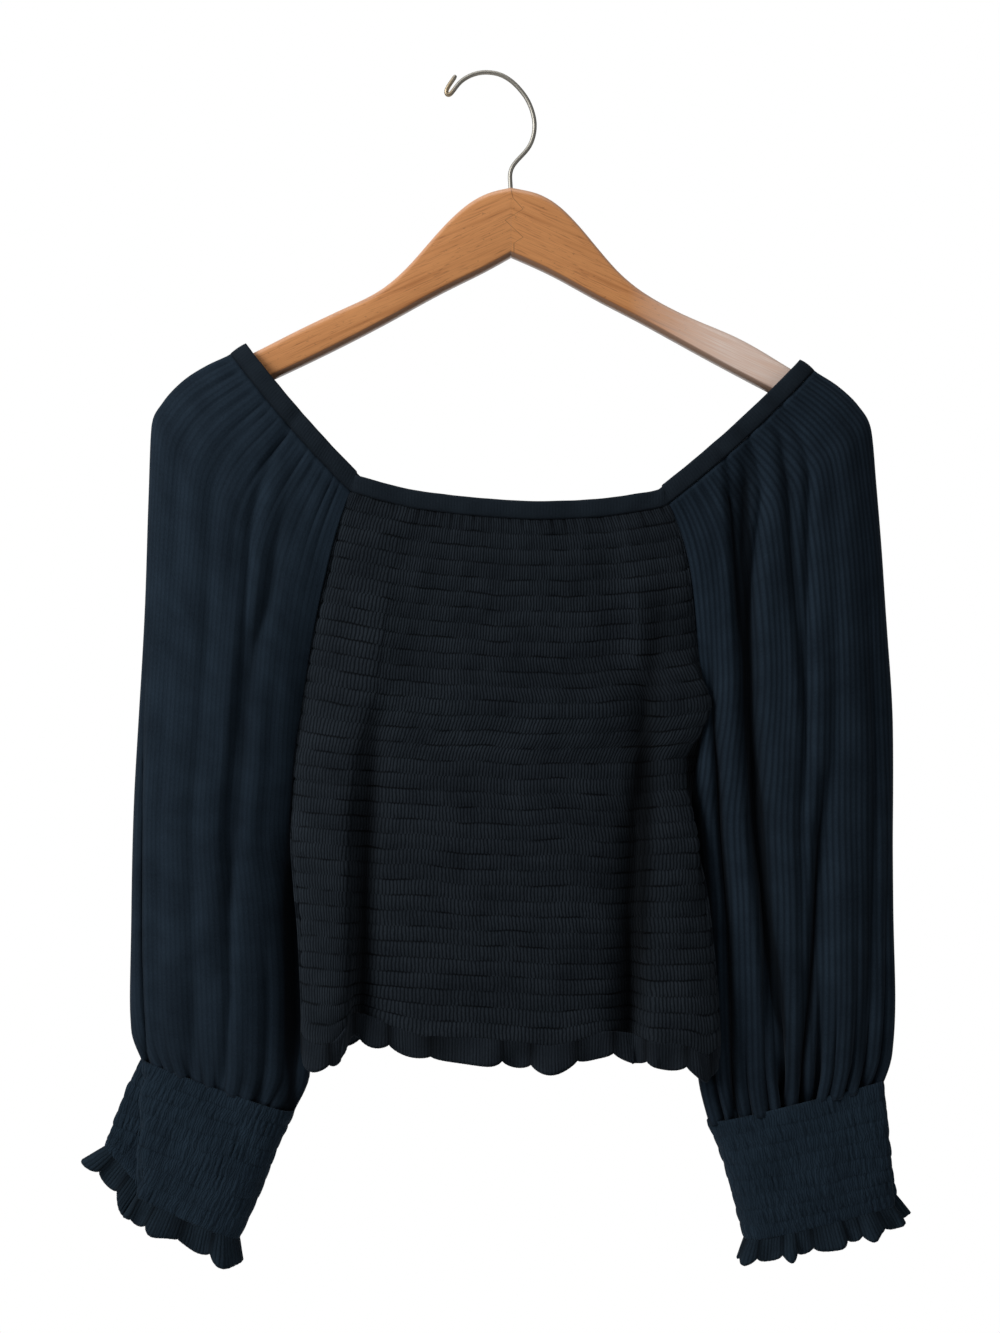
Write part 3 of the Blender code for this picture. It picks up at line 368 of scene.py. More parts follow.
FRONT_CREASES: Creases = (
    (0.0092, (
        (-0.312, 0.1082, 0.0000), (-0.339, 0.1044, 0.0020), (-0.398, 0.0962, 0.0050),
        (-0.440, 0.0925, 0.0080), (-0.481, 0.0906, 0.0100), (-0.524, 0.0893, 0.0100),
        (-0.569, 0.0868, 0.0090), (-0.613, 0.0830, 0.0070),
    )),
    (0.0078, (
        (-0.400, -0.0758, 0.0000), (-0.432, -0.0775, 0.0030), (-0.488, -0.0808, 0.0055),
        (-0.537, -0.0842, 0.0062), (-0.585, -0.0860, 0.0062), (-0.611, -0.0862, 0.0050),
    )),
)

# The front's own edge over the right sleeve at the armpit, as z, x and y
ARMPIT_EDGE: tuple[Station, ...] = (
    (-0.3680, 0.1287, -0.0098), (-0.3880, 0.1322, -0.0116), (-0.4030, 0.1347, -0.0132),
    (-0.4170, 0.1290, -0.0122), (-0.4368, 0.1186, -0.0085), (-0.4500, 0.1188, -0.0066),
    (-0.4632, 0.1217, -0.0058), (-0.4850, 0.1262, -0.0080), (-0.5200, 0.1325, -0.0127),
    (-0.5500, 0.1360, -0.0157), (-0.6050, 0.1405, -0.0167), (-0.6300, 0.1412, -0.0167),
)

# The finger joint's line on the front of the wood, as x and z
JOINT_LINE: tuple[Row, ...] = (
    (0.0090, -0.0723),
    (0.0109, -0.0806),
    (0.0173, -0.0877),
    (0.0058, -0.0947),
    (0.0173, -0.1056),
    (0.0115, -0.1094),
    (0.0115, -0.1170),
)


# ---- numbers


def table(columns: tuple[str, ...], rows: tuple[Row, ...]) -> dict[str, Array]:
    """The rows as one array for each named column."""
    return dict(zip(columns, np.array(rows, float).T))


def as_share(values: Array) -> Array:
    """The values kept between 0 and 1."""
    return np.clip(values, 0, 1)


def smooth(places: Array, values: Array, at: Array) -> Array:
    """Values at `at` on a smooth curve through the table's rows that never overshoots them.

    Args:
        places: Where the rows are, rising.
        values: Their values.
        at: Where values are wanted.

    Returns:
        One value for each place in `at`.
    """
    steps = np.diff(places)
    rises = np.diff(values) / steps
    slopes = np.concatenate([rises[:1], np.zeros(len(steps) - 1), rises[-1:]])
    for k in range(1, len(steps)):
        if rises[k - 1] * rises[k] > 0:
            slopes[k] = 2 * rises[k - 1] * rises[k] / (rises[k - 1] + rises[k])
    k = np.clip(np.searchsorted(places, at, side="right") - 1, 0, len(steps) - 1)
    t = as_share((at - places[k]) / steps[k])
    ends = values[k] * (1 + 2 * t) * (1 - t) ** 2 + values[k + 1] * t * t * (3 - 2 * t)
    return ends + steps[k] * t * (1 - t) * (slopes[k] * (1 - t) - slopes[k + 1] * t)


def unit(vectors: Array) -> Array:
    """The vectors at length 1."""
    return vectors / np.linalg.norm(vectors, axis=-1, keepdims=True)


def lengths_along(points: Array) -> Array:
    """How far each point of a path lies from its first."""
    steps = np.linalg.norm(np.diff(points, axis=0), axis=1)
    return np.concatenate([[0.0], np.cumsum(steps)])


def walked_over(across: Array, out: Array) -> Array:
    """How far each point of a flat curve lies from its first."""
    return np.concatenate([[0.0], np.cumsum(np.hypot(np.diff(across), np.diff(out)))])


def path_at(at: Array, walked: Array, path: Array) -> Array:
    """The points of a path at these distances along it."""
    return np.stack([np.interp(at, walked, path[:, k]) for k in range(3)], axis=1)


def looped(row: Array) -> Array:
    """A closed row with its first point again at its end."""
    return np.concatenate([row, row[:1]])


def shares(lines: int, columns: int, closed: bool = False) -> tuple[Array, Array]:
    """How far across and how far down a grid each of its points lies.

    Args:
        lines: How many lines it has.
        columns: How many columns.
        closed: True where the last column meets the first.

    Returns:
        One array of each, 0 to 1.
    """
    place = np.arange(columns) / (columns if closed else columns - 1)
    place, level = np.meshgrid(place, np.linspace(0, 1, lines))
    return place, level


def curve_through(padded: Array, steps: int = 24) -> Array:
    """A smooth curve through all but the first and the last of these points.

    Args:
        padded: The points, with one more before the first and after the last.
        steps: How many points it takes from each given point to the next.

    Returns:
        The curve's points.
    """
    share = np.linspace(0, 1, steps, endpoint=False)[:, None]
    pieces = []
    for before, start, end, after in zip(padded, padded[1:], padded[2:], padded[3:]):
        pieces.append(
            start
            + 0.5 * share * (end - before)
            + share**2 * (before - 2.5 * start + 2 * end - 0.5 * after)
            + share**3 * (1.5 * (start - end) + 0.5 * (after - before))
        )
    return np.concatenate([*pieces, padded[-2:-1]])


def spaced(path: Array, count: int) -> Array:
    """Points spaced evenly along a path, its two ends included."""
    walked = lengths_along(path)
    return path_at(np.linspace(0, walked[-1], count), walked, path)


def outward_of(points: Array, closed: bool, turn: float) -> Array:
    """The outward direction at each point of a grid.

    Args:
        points: Rows x columns x 3.
        closed: True where the last column meets the first.
        turn: 1 or -1, which side is out.

    Returns:
        Unit vectors, one for each point.
    """
    down = np.gradient(points, axis=0)
    if closed:
        across = np.roll(points, -1, axis=1) - np.roll(points, 1, axis=1)
    else:
        across = np.gradient(points, axis=1)
    normal = np.cross(across, down) * turn
    return normal / np.maximum(np.linalg.norm(normal, axis=-1, keepdims=True), 1e-9)


@dataclass(frozen=True)
class Unevenness:
    """A gentle unevenness over a piece of cloth that repeats all round it.

    The same seed always gives the same cloth.
    """

    seed: int
    turns: tuple[int, int]
    down: tuple[float, float] = (0.0, 0.0)
    waves: int = 14

    def at(self, place: Array, level: Array | float = 0.0) -> Array:
        """Its height, about -1 to 1.

        Args:
            place: How far across, 0 to 1.
            level: How far down, 0 to 1.

        Returns:
            One height for each place.
        """
        chance = np.random.default_rng(self.seed)
        total = np.zeros(np.broadcast(place, level).shape)
        for _ in range(self.waves):
            turn = chance.integers(self.turns[0], self.turns[1] + 1)
            fall = chance.uniform(*self.down) * chance.choice((-1, 1))
            total += np.sin(2 * np.pi * (turn * place + fall * level + chance.uniform()))
        return total / math.sqrt(self.waves)


@dataclass
class Sheet:
    """A grid of points on a cut piece, its way out, and its place on the flat cloth.

    From the line `closed_from` on, the last column meets the first.
    """

    points: Array
    turn: float
    closed_from: int | None = None

    def __post_init__(self) -> None:
        """Measures metres across and down the cloth at each point, from its first corner."""
        across = np.linalg.norm(np.diff(self.points, axis=1), axis=2)
        down = np.linalg.norm(np.diff(self.points, axis=0), axis=2)
        u = np.concatenate([[0.0], np.cumsum(np.median(across, axis=0))])
        v = np.concatenate([[0.0], np.cumsum(np.median(down, axis=1))])
        self.cloth = np.stack(np.meshgrid(u, v), axis=2)

    def quads(self) -> tuple[Array, Array]:
        """The sheet's faces and their corners on the flat cloth.

        Returns:
            Four points' numbers for each face, and metres across and down for each.
        """
        lines, columns = self.points.shape[:2]
        index = np.arange(lines * columns).reshape(lines, columns)
        faces, maps = [], []
        for r in range(lines - 1):
            closed = self.closed_from is not None and r >= self.closed_from
            c = np.arange(columns if closed else columns - 1)
            n = (c + 1) % columns
            corners = [index[r, c], index[r, n], index[r + 1, n], index[r + 1, c]]
            faces.append(np.stack(corners, axis=1))
            spots = []
            for line, step in ((r, 0), (r, 1), (r + 1, 1), (r + 1, 0)):
                u = self.cloth[line, :, 0]
                u = np.append(u, 2 * u[-1] - u[-2])
                v = np.full(len(c), self.cloth[line, 0, 1])
                spots.append(np.stack([u[c + step], v], axis=1))
            maps.append(np.stack(spots, axis=1))
        way = -1 if self.turn > 0 else 1
        return np.concatenate(faces)[:, ::way], np.concatenate(maps)[:, ::way]


# ---- Blender helpers


def grid_object(name: str, sheet: Sheet, points: Array, **marks: Any) -> Piece:
    """A grid of quads on the sheet's points, with its cloth map and its marks.

    Args:
        name: The node that the piece dresses.
        sheet: Its sheet.
        points: The points to use, of the sheet's shape.
        marks: Numbers for each point, by the attribute's name: how many ribs lie before
        it, the share of its height that a rib has there, how many rows of thread lie
        above it, its painted shade from how deep in a crease or gather it lies, 0 to 1,
        and how near an upper edge, above 0, or a lower edge, below 0.

    Returns:
        The new object, at the origin.
    """
    shape = points.shape[:2]
    faces, cloth = sheet.quads()
    mesh = bpy.data.meshes.new(name + MADE)
    mesh.vertices.add(shape[0] * shape[1])
    mesh.vertices.foreach_set("co", np.ascontiguousarray(points, np.float32).ravel())
    mesh.loops.add(faces.size)
    mesh.loops.foreach_set("vertex_index", np.ascontiguousarray(faces, np.int32).ravel())
    mesh.polygons.add(len(faces))
    mesh.polygons.foreach_set("loop_start", np.arange(0, faces.size, 4, dtype=np.int32))
    mesh.update(calc_edges=True)
    layer = mesh.uv_layers.new(name=CLOTH_MAP)
    layer.data.foreach_set("uv", np.ascontiguousarray(cloth, np.float32).ravel())
    for label in (RIB_TURNS, RIB_RISE, THREAD_ROWS, SHADE, RIM):
        values = np.broadcast_to(marks.get(label, 0.0), shape).astype(np.float32)
        attribute = mesh.attributes.new(label, "FLOAT", "POINT")
        attribute.data.foreach_set("value", values.ravel())
    mesh.validate()
    mesh.shade_smooth()
    return linked(name + MADE, mesh)


def linked(name: str, data: Any) -> Piece:
    """A new object in the scene.

    Args:
        name: Its name.
        data: Its mesh, lamp or camera.

    Returns:
        The object.
    """
    made = bpy.data.objects.new(name, data)
    bpy.context.scene.collection.objects.link(made)
    return made


def solid(piece: Piece) -> Piece:
    """Takes a piece's modifiers into its mesh.

    Args:
        piece: The piece.

    Returns:
        The same piece.
    """
    graph = bpy.context.evaluated_depsgraph_get()
    mesh = bpy.data.meshes.new_from_object(piece.evaluated_get(graph), depsgraph=graph)
    piece.modifiers.clear()
    old, piece.data = piece.data, mesh
    bpy.data.meshes.remove(old)
    mesh.name = piece.name
    return piece


@dataclass(frozen=True)
class Value:
    """A node's socket that sums can be written with."""

    tree: bpy.types.NodeTree
    socket: Any

    def math(self, operation: str, *others: Any, clamp: bool = False) -> Value:
        """Adds one Math node.

        Args:
            operation: What it works out.
            others: The values or numbers that follow this one.
            clamp: True keeps the result between 0 and 1.

        Returns:
            Its result.
        """
        node = self.tree.nodes.new("ShaderNodeMath")
        node.operation, node.use_clamp = operation, clamp
        for slot, value in enumerate((self, *others)):
            if isinstance(value, Value):
                self.tree.links.new(value.socket, node.inputs[slot])
            else:
                node.inputs[slot].default_value = value
        return Value(self.tree, node.outputs[0])

    def __add__(self, other: Any) -> Value:
        """The sum."""
        return self.math("ADD", other)

    def __sub__(self, other: Any) -> Value:
        """The difference."""
        return self.math("SUBTRACT", other)

    def __mul__(self, other: Any) -> Value:
        """The product."""
        return self.math("MULTIPLY", other)

    def __truediv__(self, other: Any) -> Value:
        """The quotient."""
        return self.math("DIVIDE", other)

    def __pow__(self, other: Any) -> Value:
        """The power."""
        return self.math("POWER", other)

    __radd__ = __add__
    __rmul__ = __mul__

    def __rsub__(self, other: float) -> Value:
        """A number less this value."""
        return self.math("MULTIPLY_ADD", -1.0, other)

    def clamped(self) -> Value:
        """The value, kept between 0 and 1."""
        return self.math("ADD", 0.0, clamp=True)


@dataclass
class Nodes:
    """Adds nodes to one tree."""

    tree: bpy.types.NodeTree

    def value(self, socket: Any) -> Value:
        """The socket as a value for sums."""
        return Value(self.tree, socket)

    def put(self, slot: Any, value: Any) -> None:
        """Links or sets one socket.

        Args:
            slot: The socket.
            value: A value for sums, another socket, or what it is set to.
        """
        source = value.socket if isinstance(value, Value) else value
        if isinstance(source, bpy.types.NodeSocket):
            self.tree.links.new(source, slot)
        else:
            slot.default_value = source

    def node(self, kind: str, values: dict[Any, Any] | None = None, **settings: Any) -> Any:
        """Adds a node.

        Args:
            kind: Its type.
            values: A value or a link for each of its sockets, by name or number.
            settings: Its own settings, set first.

        Returns:
            The node.
        """
        made = self.tree.nodes.new(kind)
        for key, value in settings.items():
            setattr(made, key, value)
        for key, value in (values or {}).items():
            self.put(made.inputs[key], value)
        return made

    def first(self, kind: str, values: dict[Any, Any] | None = None, **settings: Any) -> Any:
        """Adds a node and gives its first output."""
        return self.node(kind, values, **settings).outputs[0]


class Tree(Nodes):
    """Builds a Geometry Nodes tree with named inputs."""

    def __init__(self, name: str) -> None:
        """Starts a tree that takes and gives a geometry.

        Args:
            name: The tree's name.
        """
        super().__init__(bpy.data.node_groups.new(name, "GeometryNodeTree"))
        for way in ("INPUT", "OUTPUT"):
            self.tree.interface.new_socket(
                "Geometry", in_out=way, socket_type="NodeSocketGeometry"
            )
        self.inputs = self.node("NodeGroupInput").outputs
        self.result = self.node("NodeGroupOutput").inputs[0]

    def size(self, name: str, kind: str = "NodeSocketFloat") -> Any:
        """A named input of the tree, as its socket inside."""
        self.tree.interface.new_socket(name, in_out="INPUT", socket_type=kind)
        return self.inputs[name]

    def mark(self, name: str) -> Value:
        """A number that the mesh carries at each point."""
        values = {"Name": name}
        return self.value(self.first("GeometryNodeInputNamedAttribute", values, data_type="FLOAT"))

    def finish(self, geometry: Any, finish: Any) -> Tree:
        """Ends the tree in Realize Instances and Set Material.

        Args:
            geometry: What the tree has made.
            finish: The input that holds its material.

        Returns:
            The tree.
        """
        real = self.first("GeometryNodeRealizeInstances", {0: geometry})
        values = {"Geometry": real, "Material": finish}
        self.put(self.result, self.first("GeometryNodeSetMaterial", values))
        return self

    def put_on(self, piece: Piece, **sizes: Any) -> None:
        """Adds the tree to a piece as a modifier.

        Args:
            piece: The piece.
            sizes: The tree's named inputs, in lower case with underscores.
        """
        modifier = piece.modifiers.new(self.tree.name, "NODES")
        modifier.node_group = self.tree
        for item in self.tree.interface.items_tree:
            key = item.name.lower().replace(" ", "_")
            if item.in_out == "INPUT" and key in sizes:
                modifier[item.identifier] = sizes[key]


def raised_ribs() -> Tree:
    """The ribs of the knit: each point moves out by its place across the ribs.

    Returns:
        The tree, with the inputs Rib height and Finish.
    """
    tree = Tree("raised_ribs")
    height, finish = tree.size("Rib height"), tree.size("Finish", "NodeSocketMaterial")
    turns, rise = tree.mark(RIB_TURNS), tree.mark(RIB_RISE)
    wave = (turns * (2 * math.pi)).math("COSINE")
    crest = 1.0 - wave.math("MULTIPLY_ADD", 0.5, 0.5) ** 3.0
    values = {0: tree.first("GeometryNodeInputNormal"), "Scale": crest * rise * tree.value(height)}
    offset = tree.first("ShaderNodeVectorMath", values, operation="SCALE")
    values = {"Geometry": tree.inputs[0], "Offset": offset}
    return tree.finish(tree.first("GeometryNodeSetPosition", values), finish)


def rolled_edge() -> Tree:
    """A rolled hem: thread wound round the free edge of a ruffle, along its path.

    Returns:
        The tree, with the inputs Radius, Thread pitch and Finish.
    """
    tree = Tree("rolled_edge")
    radius, pitch = tree.size("Radius"), tree.size("Thread pitch")
    finish = tree.size("Finish", "NodeSocketMaterial")
    path = tree.first("GeometryNodeMeshToCurve", {"Mesh": tree.inputs[0]})
    values = {"Curve": path, "Length": tree.value(pitch) * 0.5}
    even = tree.first("GeometryNodeResampleCurve", values, mode="LENGTH")
    index = tree.value(tree.first("GeometryNodeInputIndex"))
    bump = index.math("MODULO", 2.0).math("MULTIPLY_ADD", 0.22, 0.78)
    sized = tree.first("GeometryNodeSetCurveRadius", {"Curve": even, "Radius": bump})
    ring = tree.first("GeometryNodeCurvePrimitiveCircle", {"Resolution": 6, "Radius": radius})
    tube = tree.node("GeometryNodeCurveToMesh", {"Curve": sized, "Profile Curve": ring})
    if "Scale" in tube.inputs:
        tree.put(tube.inputs["Scale"], bump)
    return tree.finish(tube.outputs[0], finish)


# ---- cloth


@dataclass(frozen=True)
class Gathers:
    """Creases that fan out from a seam, each with its own depth and reach, and die away."""

    count: int
    depth: float
    reach: float
    seed: int
    sharpness: float = 2.0
    shift: float = 0.24
    depths: tuple[float, float] = (0.45, 1.0)
    reaches: tuple[float, float] = (0.55, 1.5)
    last: tuple[float, float] = (0.7, 1.0)

    def pull(self, place: Array, distance: Array) -> Array:
        """How deep the creases lie.

        Args:
            place: How far round the piece, 0 to 1.
            distance: Metres from the seam.

        Returns:
            One depth for each place, in metres.
        """
        chance = np.random.default_rng(self.seed)
        beats = np.arange(self.count + 1)
        shifts = np.append(chance.uniform(-self.shift, self.shift, self.count), 0.0)
        deep = np.append(chance.uniform(*self.depths, self.count), self.last[0])
        reach = np.append(chance.uniform(*self.reaches, self.count), self.last[1])
        turn = place * self.count
        turn = turn - np.interp(turn, beats, shifts)
        nearest = np.clip(np.round(turn), 0, self.count).astype(int)
        hollow = (0.5 + 0.5 * np.cos(2 * np.pi * turn)) ** self.sharpness
        fade = np.exp(-((np.maximum(distance, 0) / (self.reach * reach[nearest])) ** 1.5))
        return self.depth * deep[nearest] * hollow * fade

    def shade(self, place: Array, distance: Array) -> Array:
        """Painted shade for the creases: how deep in a crease each place lies, 0 to 1."""
        return self.pull(place, distance) / self.depth


@dataclass(frozen=True)
class Crease:
    """One long soft trough on the front of a piece, placed along listed stations."""

    half_width: float
    stations: tuple[Station, ...]
    run_out: float = 0.03

    def depth(self, points: Array) -> Array:
        """How deep the trough lies.

        Args:
            points: The piece's grid.

        Returns:
            One depth for each point, in metres.
        """
        z, x, deep = np.array(self.stations).T
        middle, bottom = smooth(-z, x, -points[..., 2]), smooth(-z, deep, -points[..., 2])
        inside = (points[..., 2] <= z[0]) & (points[..., 2] >= z[-1] - self.run_out)
        aside = np.abs(points[..., 0] - middle) / self.half_width
        return np.where(inside, bottom * np.exp(-(aside**1.8)), 0.0)


def creased(points: Array, creases: Creases) -> Array:
    """How deep all of a piece's creases lie at each point."""
    return sum((Crease(*crease).depth(points) for crease in creases), np.zeros(points.shape[:2]))


@dataclass(frozen=True)
class Shirring:
    """Rows of elastic thread: the cloth puffs out between them and pinches along them."""

    rows: int
    puff: float
    pinch: float
    seed: int
    drift: float = 0.11
    line_half: float = 0.10
    dashes: tuple[float, float] = (0.50, 0.62)
    fullness: float = 0.62
    swell: float = 0.20
    pucker: float = 0.22
    row_steps: tuple[float, float] = (0.37, 0.618)

    def phase(self, place: Array, level: Array) -> Array:
        """How many rows of thread lie above each place, as they drift a little."""
        drift = Unevenness(self.seed, (1, 6), (0.0, 2.0)).at(place, level)
        return level * self.rows + self.drift * drift * np.sin(np.pi * as_share(level))

    def line(self, place: Array, level: Array) -> Array:
        """How hard a row of thread pinches each place, in uneven dashes.

        Args:
            place: How far across the piece, 0 to 1.
            level: How far down it, 0 to 1.

        Returns:
            One share for each place, 0 to 1.
        """
        phase = self.phase(place, level)
        row = np.round(phase)
        dashes = Unevenness(self.seed + 1, (7, 19)).at(place + row * self.row_steps[0], level * 0)
        near = np.exp(-(((phase - row) / self.line_half) ** 2))
        return near * as_share(self.dashes[0] + self.dashes[1] * dashes)

    def lift(self, place: Array, level: Array) -> Array:
        """How far the cloth stands out between its rows of thread.

        Args:
            place: How far across the piece, 0 to 1.
            level: How far down it, 0 to 1.

        Returns:
            One height for each place, in metres.
        """
        phase = self.phase(place, level)
        row = np.floor(phase)
        puff = np.abs(np.sin(np.pi * (phase - row))) ** self.fullness
        pucker = Unevenness(self.seed + 2, (34, 66)).at(place + row * self.row_steps[1], level * 0)
        swell = 1.0 + self.swell * Unevenness(self.seed + 3, (4, 13), (3.0, 9.0)).at(place, level)
        puffed = self.puff * puff * (swell + self.pucker * pucker)
        return puffed - self.pinch * self.line(place, level)


@dataclass(frozen=True)
class SleeveHang:
    """How a sleeve hangs: the left one smoothly, the right one crumpled on its cuff.

    Its gathers are those above the cuff, `bulge` is how far the cloth puffs out there and
    `scallop` how far it sags over the seam. A crease's painted shade is full from `dark_at` deep.
    """

    gathers: Gathers
    fold_share: float
    bulge: float
    scallop: float
    sway: float
    rib_share: float
    dark_at: float


@dataclass
class Sleeve:
    """A full raglan sleeve, gathered at the neck and at the cuff.

    Each ease is how far from a seam a form takes to reach its full size, in metres or,
    for `seam_share`, as a share of the way round.
    """

    hand: Hand
    rows: tuple[Row, ...]
    fold_rows: tuple[Row, ...]
    creases: Creases
    hang: SleeveHang
    half_columns: int = 160
    fine_steps: int = 1200
    line_step: float = 0.0031
    squareness: float = 2.3
    seam_share: float = 0.02
    neck_ease: float = 0.006
    crease_ease: float = 0.022
    sway_ease: float = 0.03
    rib_ease: float = 0.004
    bulge_reach: float = 0.013
    columns_a_rib: int = 4
    shades: tuple[float, float] = (0.30, 0.80)
    deepest: tuple[float, float] = (0.0042, 0.003)
    wall: float = 0.0012

    def __post_init__(self) -> None:
        """Works out the sleeve's rings."""
        self.name = f"sleeve_{self.hand.name.lower()}"
        self.ring = table(SLEEVE_COLUMNS, self.rows)
        self.folds = [dict(zip(FOLD_COLUMNS, row)) for row in self.fold_rows]
        self.neck_gathers = Gathers(30, 0.0013, 0.042, 11 + self.hand.value, 3.0)
        self.stations = self.stops()
        self.points = self.rings(self.stations)
        self.top_ring = self.rings(np.zeros(1))[0]
        self.armpit = int(np.searchsorted(self.stations, ARMPIT_ROW - 1e-9))

    def stops(self) -> Array:
        """Where the fine rings lie, the armpit's own row among them.

        Returns:
            One number of the table's rows for each ring.
        """
        ring, rows = self.ring, np.arange(len(self.rows), dtype=float)
        middle_x, middle_z = ring["seam_x"] + ring["outer_x"], ring["seam_z"] + ring["outer_z"]
        middle = np.stack([middle_x / 2, np.zeros(len(rows)), middle_z / 2], axis=1)
        walked = lengths_along(middle)
        parts = []
        for first, last in ((NECK_SEAM_ROW, ARMPIT_ROW), (ARMPIT_ROW, len(rows) - 1)):
            count = round((walked[last] - walked[first]) / self.line_step)
            even = np.linspace(walked[first], walked[last], count, endpoint=False)
            parts.append(np.interp(even, walked, rows))
        return np.concatenate([*parts, rows[-1:]])

    def fold_depth(self, across: Array, level: Array, is_front: bool) -> Array:
        """How deep the long folds lie on one side of a ring.

        Args:
            across: How far across the ring, 0 to 1.
            level: How far down the sleeve, 0 to 1.
            is_front: True on the front.

        Returns:
            One depth for each place, in metres.
        """
        depth = np.zeros_like(across)
        stations = np.array([0.0, 0.5, 1.0])
        for fold in self.folds:
            if bool(fold["front"]) != is_front:
                continue
            places = np.array([fold["top"], fold["middle"], fold["low"]])
            sizes = np.array([fold["top_depth"], fold["middle_depth"], fold["low_depth"]])
            place = smooth(stations, places, level)
            size = smooth(stations, sizes, level) * self.hang.fold_share
            depth = depth + size * np.exp(-(((across - place) / fold["width"]) ** 2))
        return depth

    def rings(self, stops: Array) -> Array:
        """The fine rings, each from the front seam to the back seam.

        Args:
            stops: The rings wanted, as numbers of the table's rows.

        Returns:
            Their points.
        """
        last = len(self.rows) - 1
        rows = np.arange(last + 1, dtype=float)
        ring = {name: smooth(rows, values, stops) for name, values in self.ring.items()}
        points = []
        for k, stop in enumerate(stops):
            seam = np.array([ring["seam_x"][k], ring["seam_z"][k]])
            outer = np.array([ring["outer_x"][k], ring["outer_z"][k]])
            start, half_depth = ring["start"][k], ring["half_depth"][k]
            place = self.places(start, float(np.linalg.norm(outer - seam)), half_depth)
            across = (place - start) / (1 - start)
            flat = seam + (outer - seam) * across[:, None]
            flat[:, 1] -= ring["sag"][k] * 4 * across * (1 - across)
            middle = ring["seam_y"][k] * (1 - across) ** 2
            level = np.full_like(across, max(stop - NECK_SEAM_ROW, 0) / (last - NECK_SEAM_ROW))
            halves = []
            for side in (-1, 1):
                depth = half_depth * self.ring_height(place)
                folded = self.fold_depth(across, level, side < 0) * np.sin(np.pi * across)
                y = middle + side * (depth - folded)
                halves.append(np.stack([flat[:, 0], y, flat[:, 1]], axis=1))
            points.append(np.concatenate([halves[0], halves[1][-2::-1]]))
        return np.array(points)

    def ring_height(self, place: Array) -> Array:
        """The half depth across a flattened ring, 1 at its middle and 0 at its folds."""
        return (1 - np.abs(2 * place - 1) ** self.squareness) ** (1 / self.squareness)

    def places(self, start: float, width: float, half_depth: float) -> Array:
        """Places across a flattened ring, spaced evenly along its cloth.

        Args:
            start: Where the ring starts, 0 where it is whole.
            width: Its width.
            half_depth: Half of its depth.

        Returns:
            The places, from `start` to 1.
        """
        fine = start + (1 - start) * (1 - np.cos(np.linspace(0, np.pi, self.fine_steps))) / 2
        flat = width * (fine - start) / (1 - start)
        walked = walked_over(flat, half_depth * self.ring_height(fine))
        return np.interp(np.linspace(0, walked[-1], self.half_columns + 1), walked, fine)

    def edge(self, facing: Facing) -> Array:
        """The sleeve's seam edge on the front or the back, from the neck to the armpit."""
        return self.points[: self.armpit + 1, 0 if facing is Facing.FRONT else -1]

    def build(self, finish: KnitFinish) -> Piece:
        """Lays the sleeve's cloth with its gathers, scallops and ribs.

        Args:
            finish: The rib knit.

        Returns:
            The finished piece.
        """
        hang, (lines, columns) = self.hang, self.points.shape[:2]
        sheet = Sheet(self.points, self.hand.value, self.armpit)
        place, _ = shares(lines, columns)
        down = sheet.cloth[:, :, 1]
        length = down[-1, 0]
        keep = as_share(np.minimum(place, 1 - place) / self.seam_share)
        keep = np.where((np.arange(lines) < self.armpit)[:, None], keep, 1.0)
        front = (place < 0.5) * as_share((0.5 - place) / self.seam_share)
        trough = creased(self.points, self.creases) * front * as_share(down / self.crease_ease)
        neck = keep * as_share(down / self.neck_ease)
        gathered = hang.gathers.pull(place, length - down)
        bulge = np.exp(-(((length - down) / self.bulge_reach) ** 2))
        sway = Unevenness(51 + self.hand.value, (2, 13), (0.4, 3.5)).at(place, down / length)
        out = hang.bulge * bulge - self.neck_gathers.pull(place, down) * neck - gathered * keep
        out += hang.sway * sway * keep * as_share(down / self.sway_ease)
        normals = outward_of(self.points, False, self.hand.value)
        points = self.points + normals * out[..., None]
        depth = gathered / hang.gathers.depth
        points[..., 1] += trough
        points[..., 2] -= hang.scallop * bulge * (1 - 0.8 * depth)
        # painted shade: darkening painted into the colour in the neck gathers, the cuff gathers
        # and the creases, and more in the deepest creases
        shade = self.shades[0] * self.neck_gathers.shade(place, down) * neck
        shade += self.shades[1] * depth + trough / hang.dark_at
        shade += np.clip(trough - self.deepest[0], 0, None) / self.deepest[1]
        marks = {
            RIB_TURNS: place * (columns - 1) / self.columns_a_rib,
            RIB_RISE: hang.rib_share * as_share(down / self.rib_ease),
            SHADE: as_share(shade),
        }
        return finish.put_on(grid_object(self.name, sheet, points, **marks), self.wall)


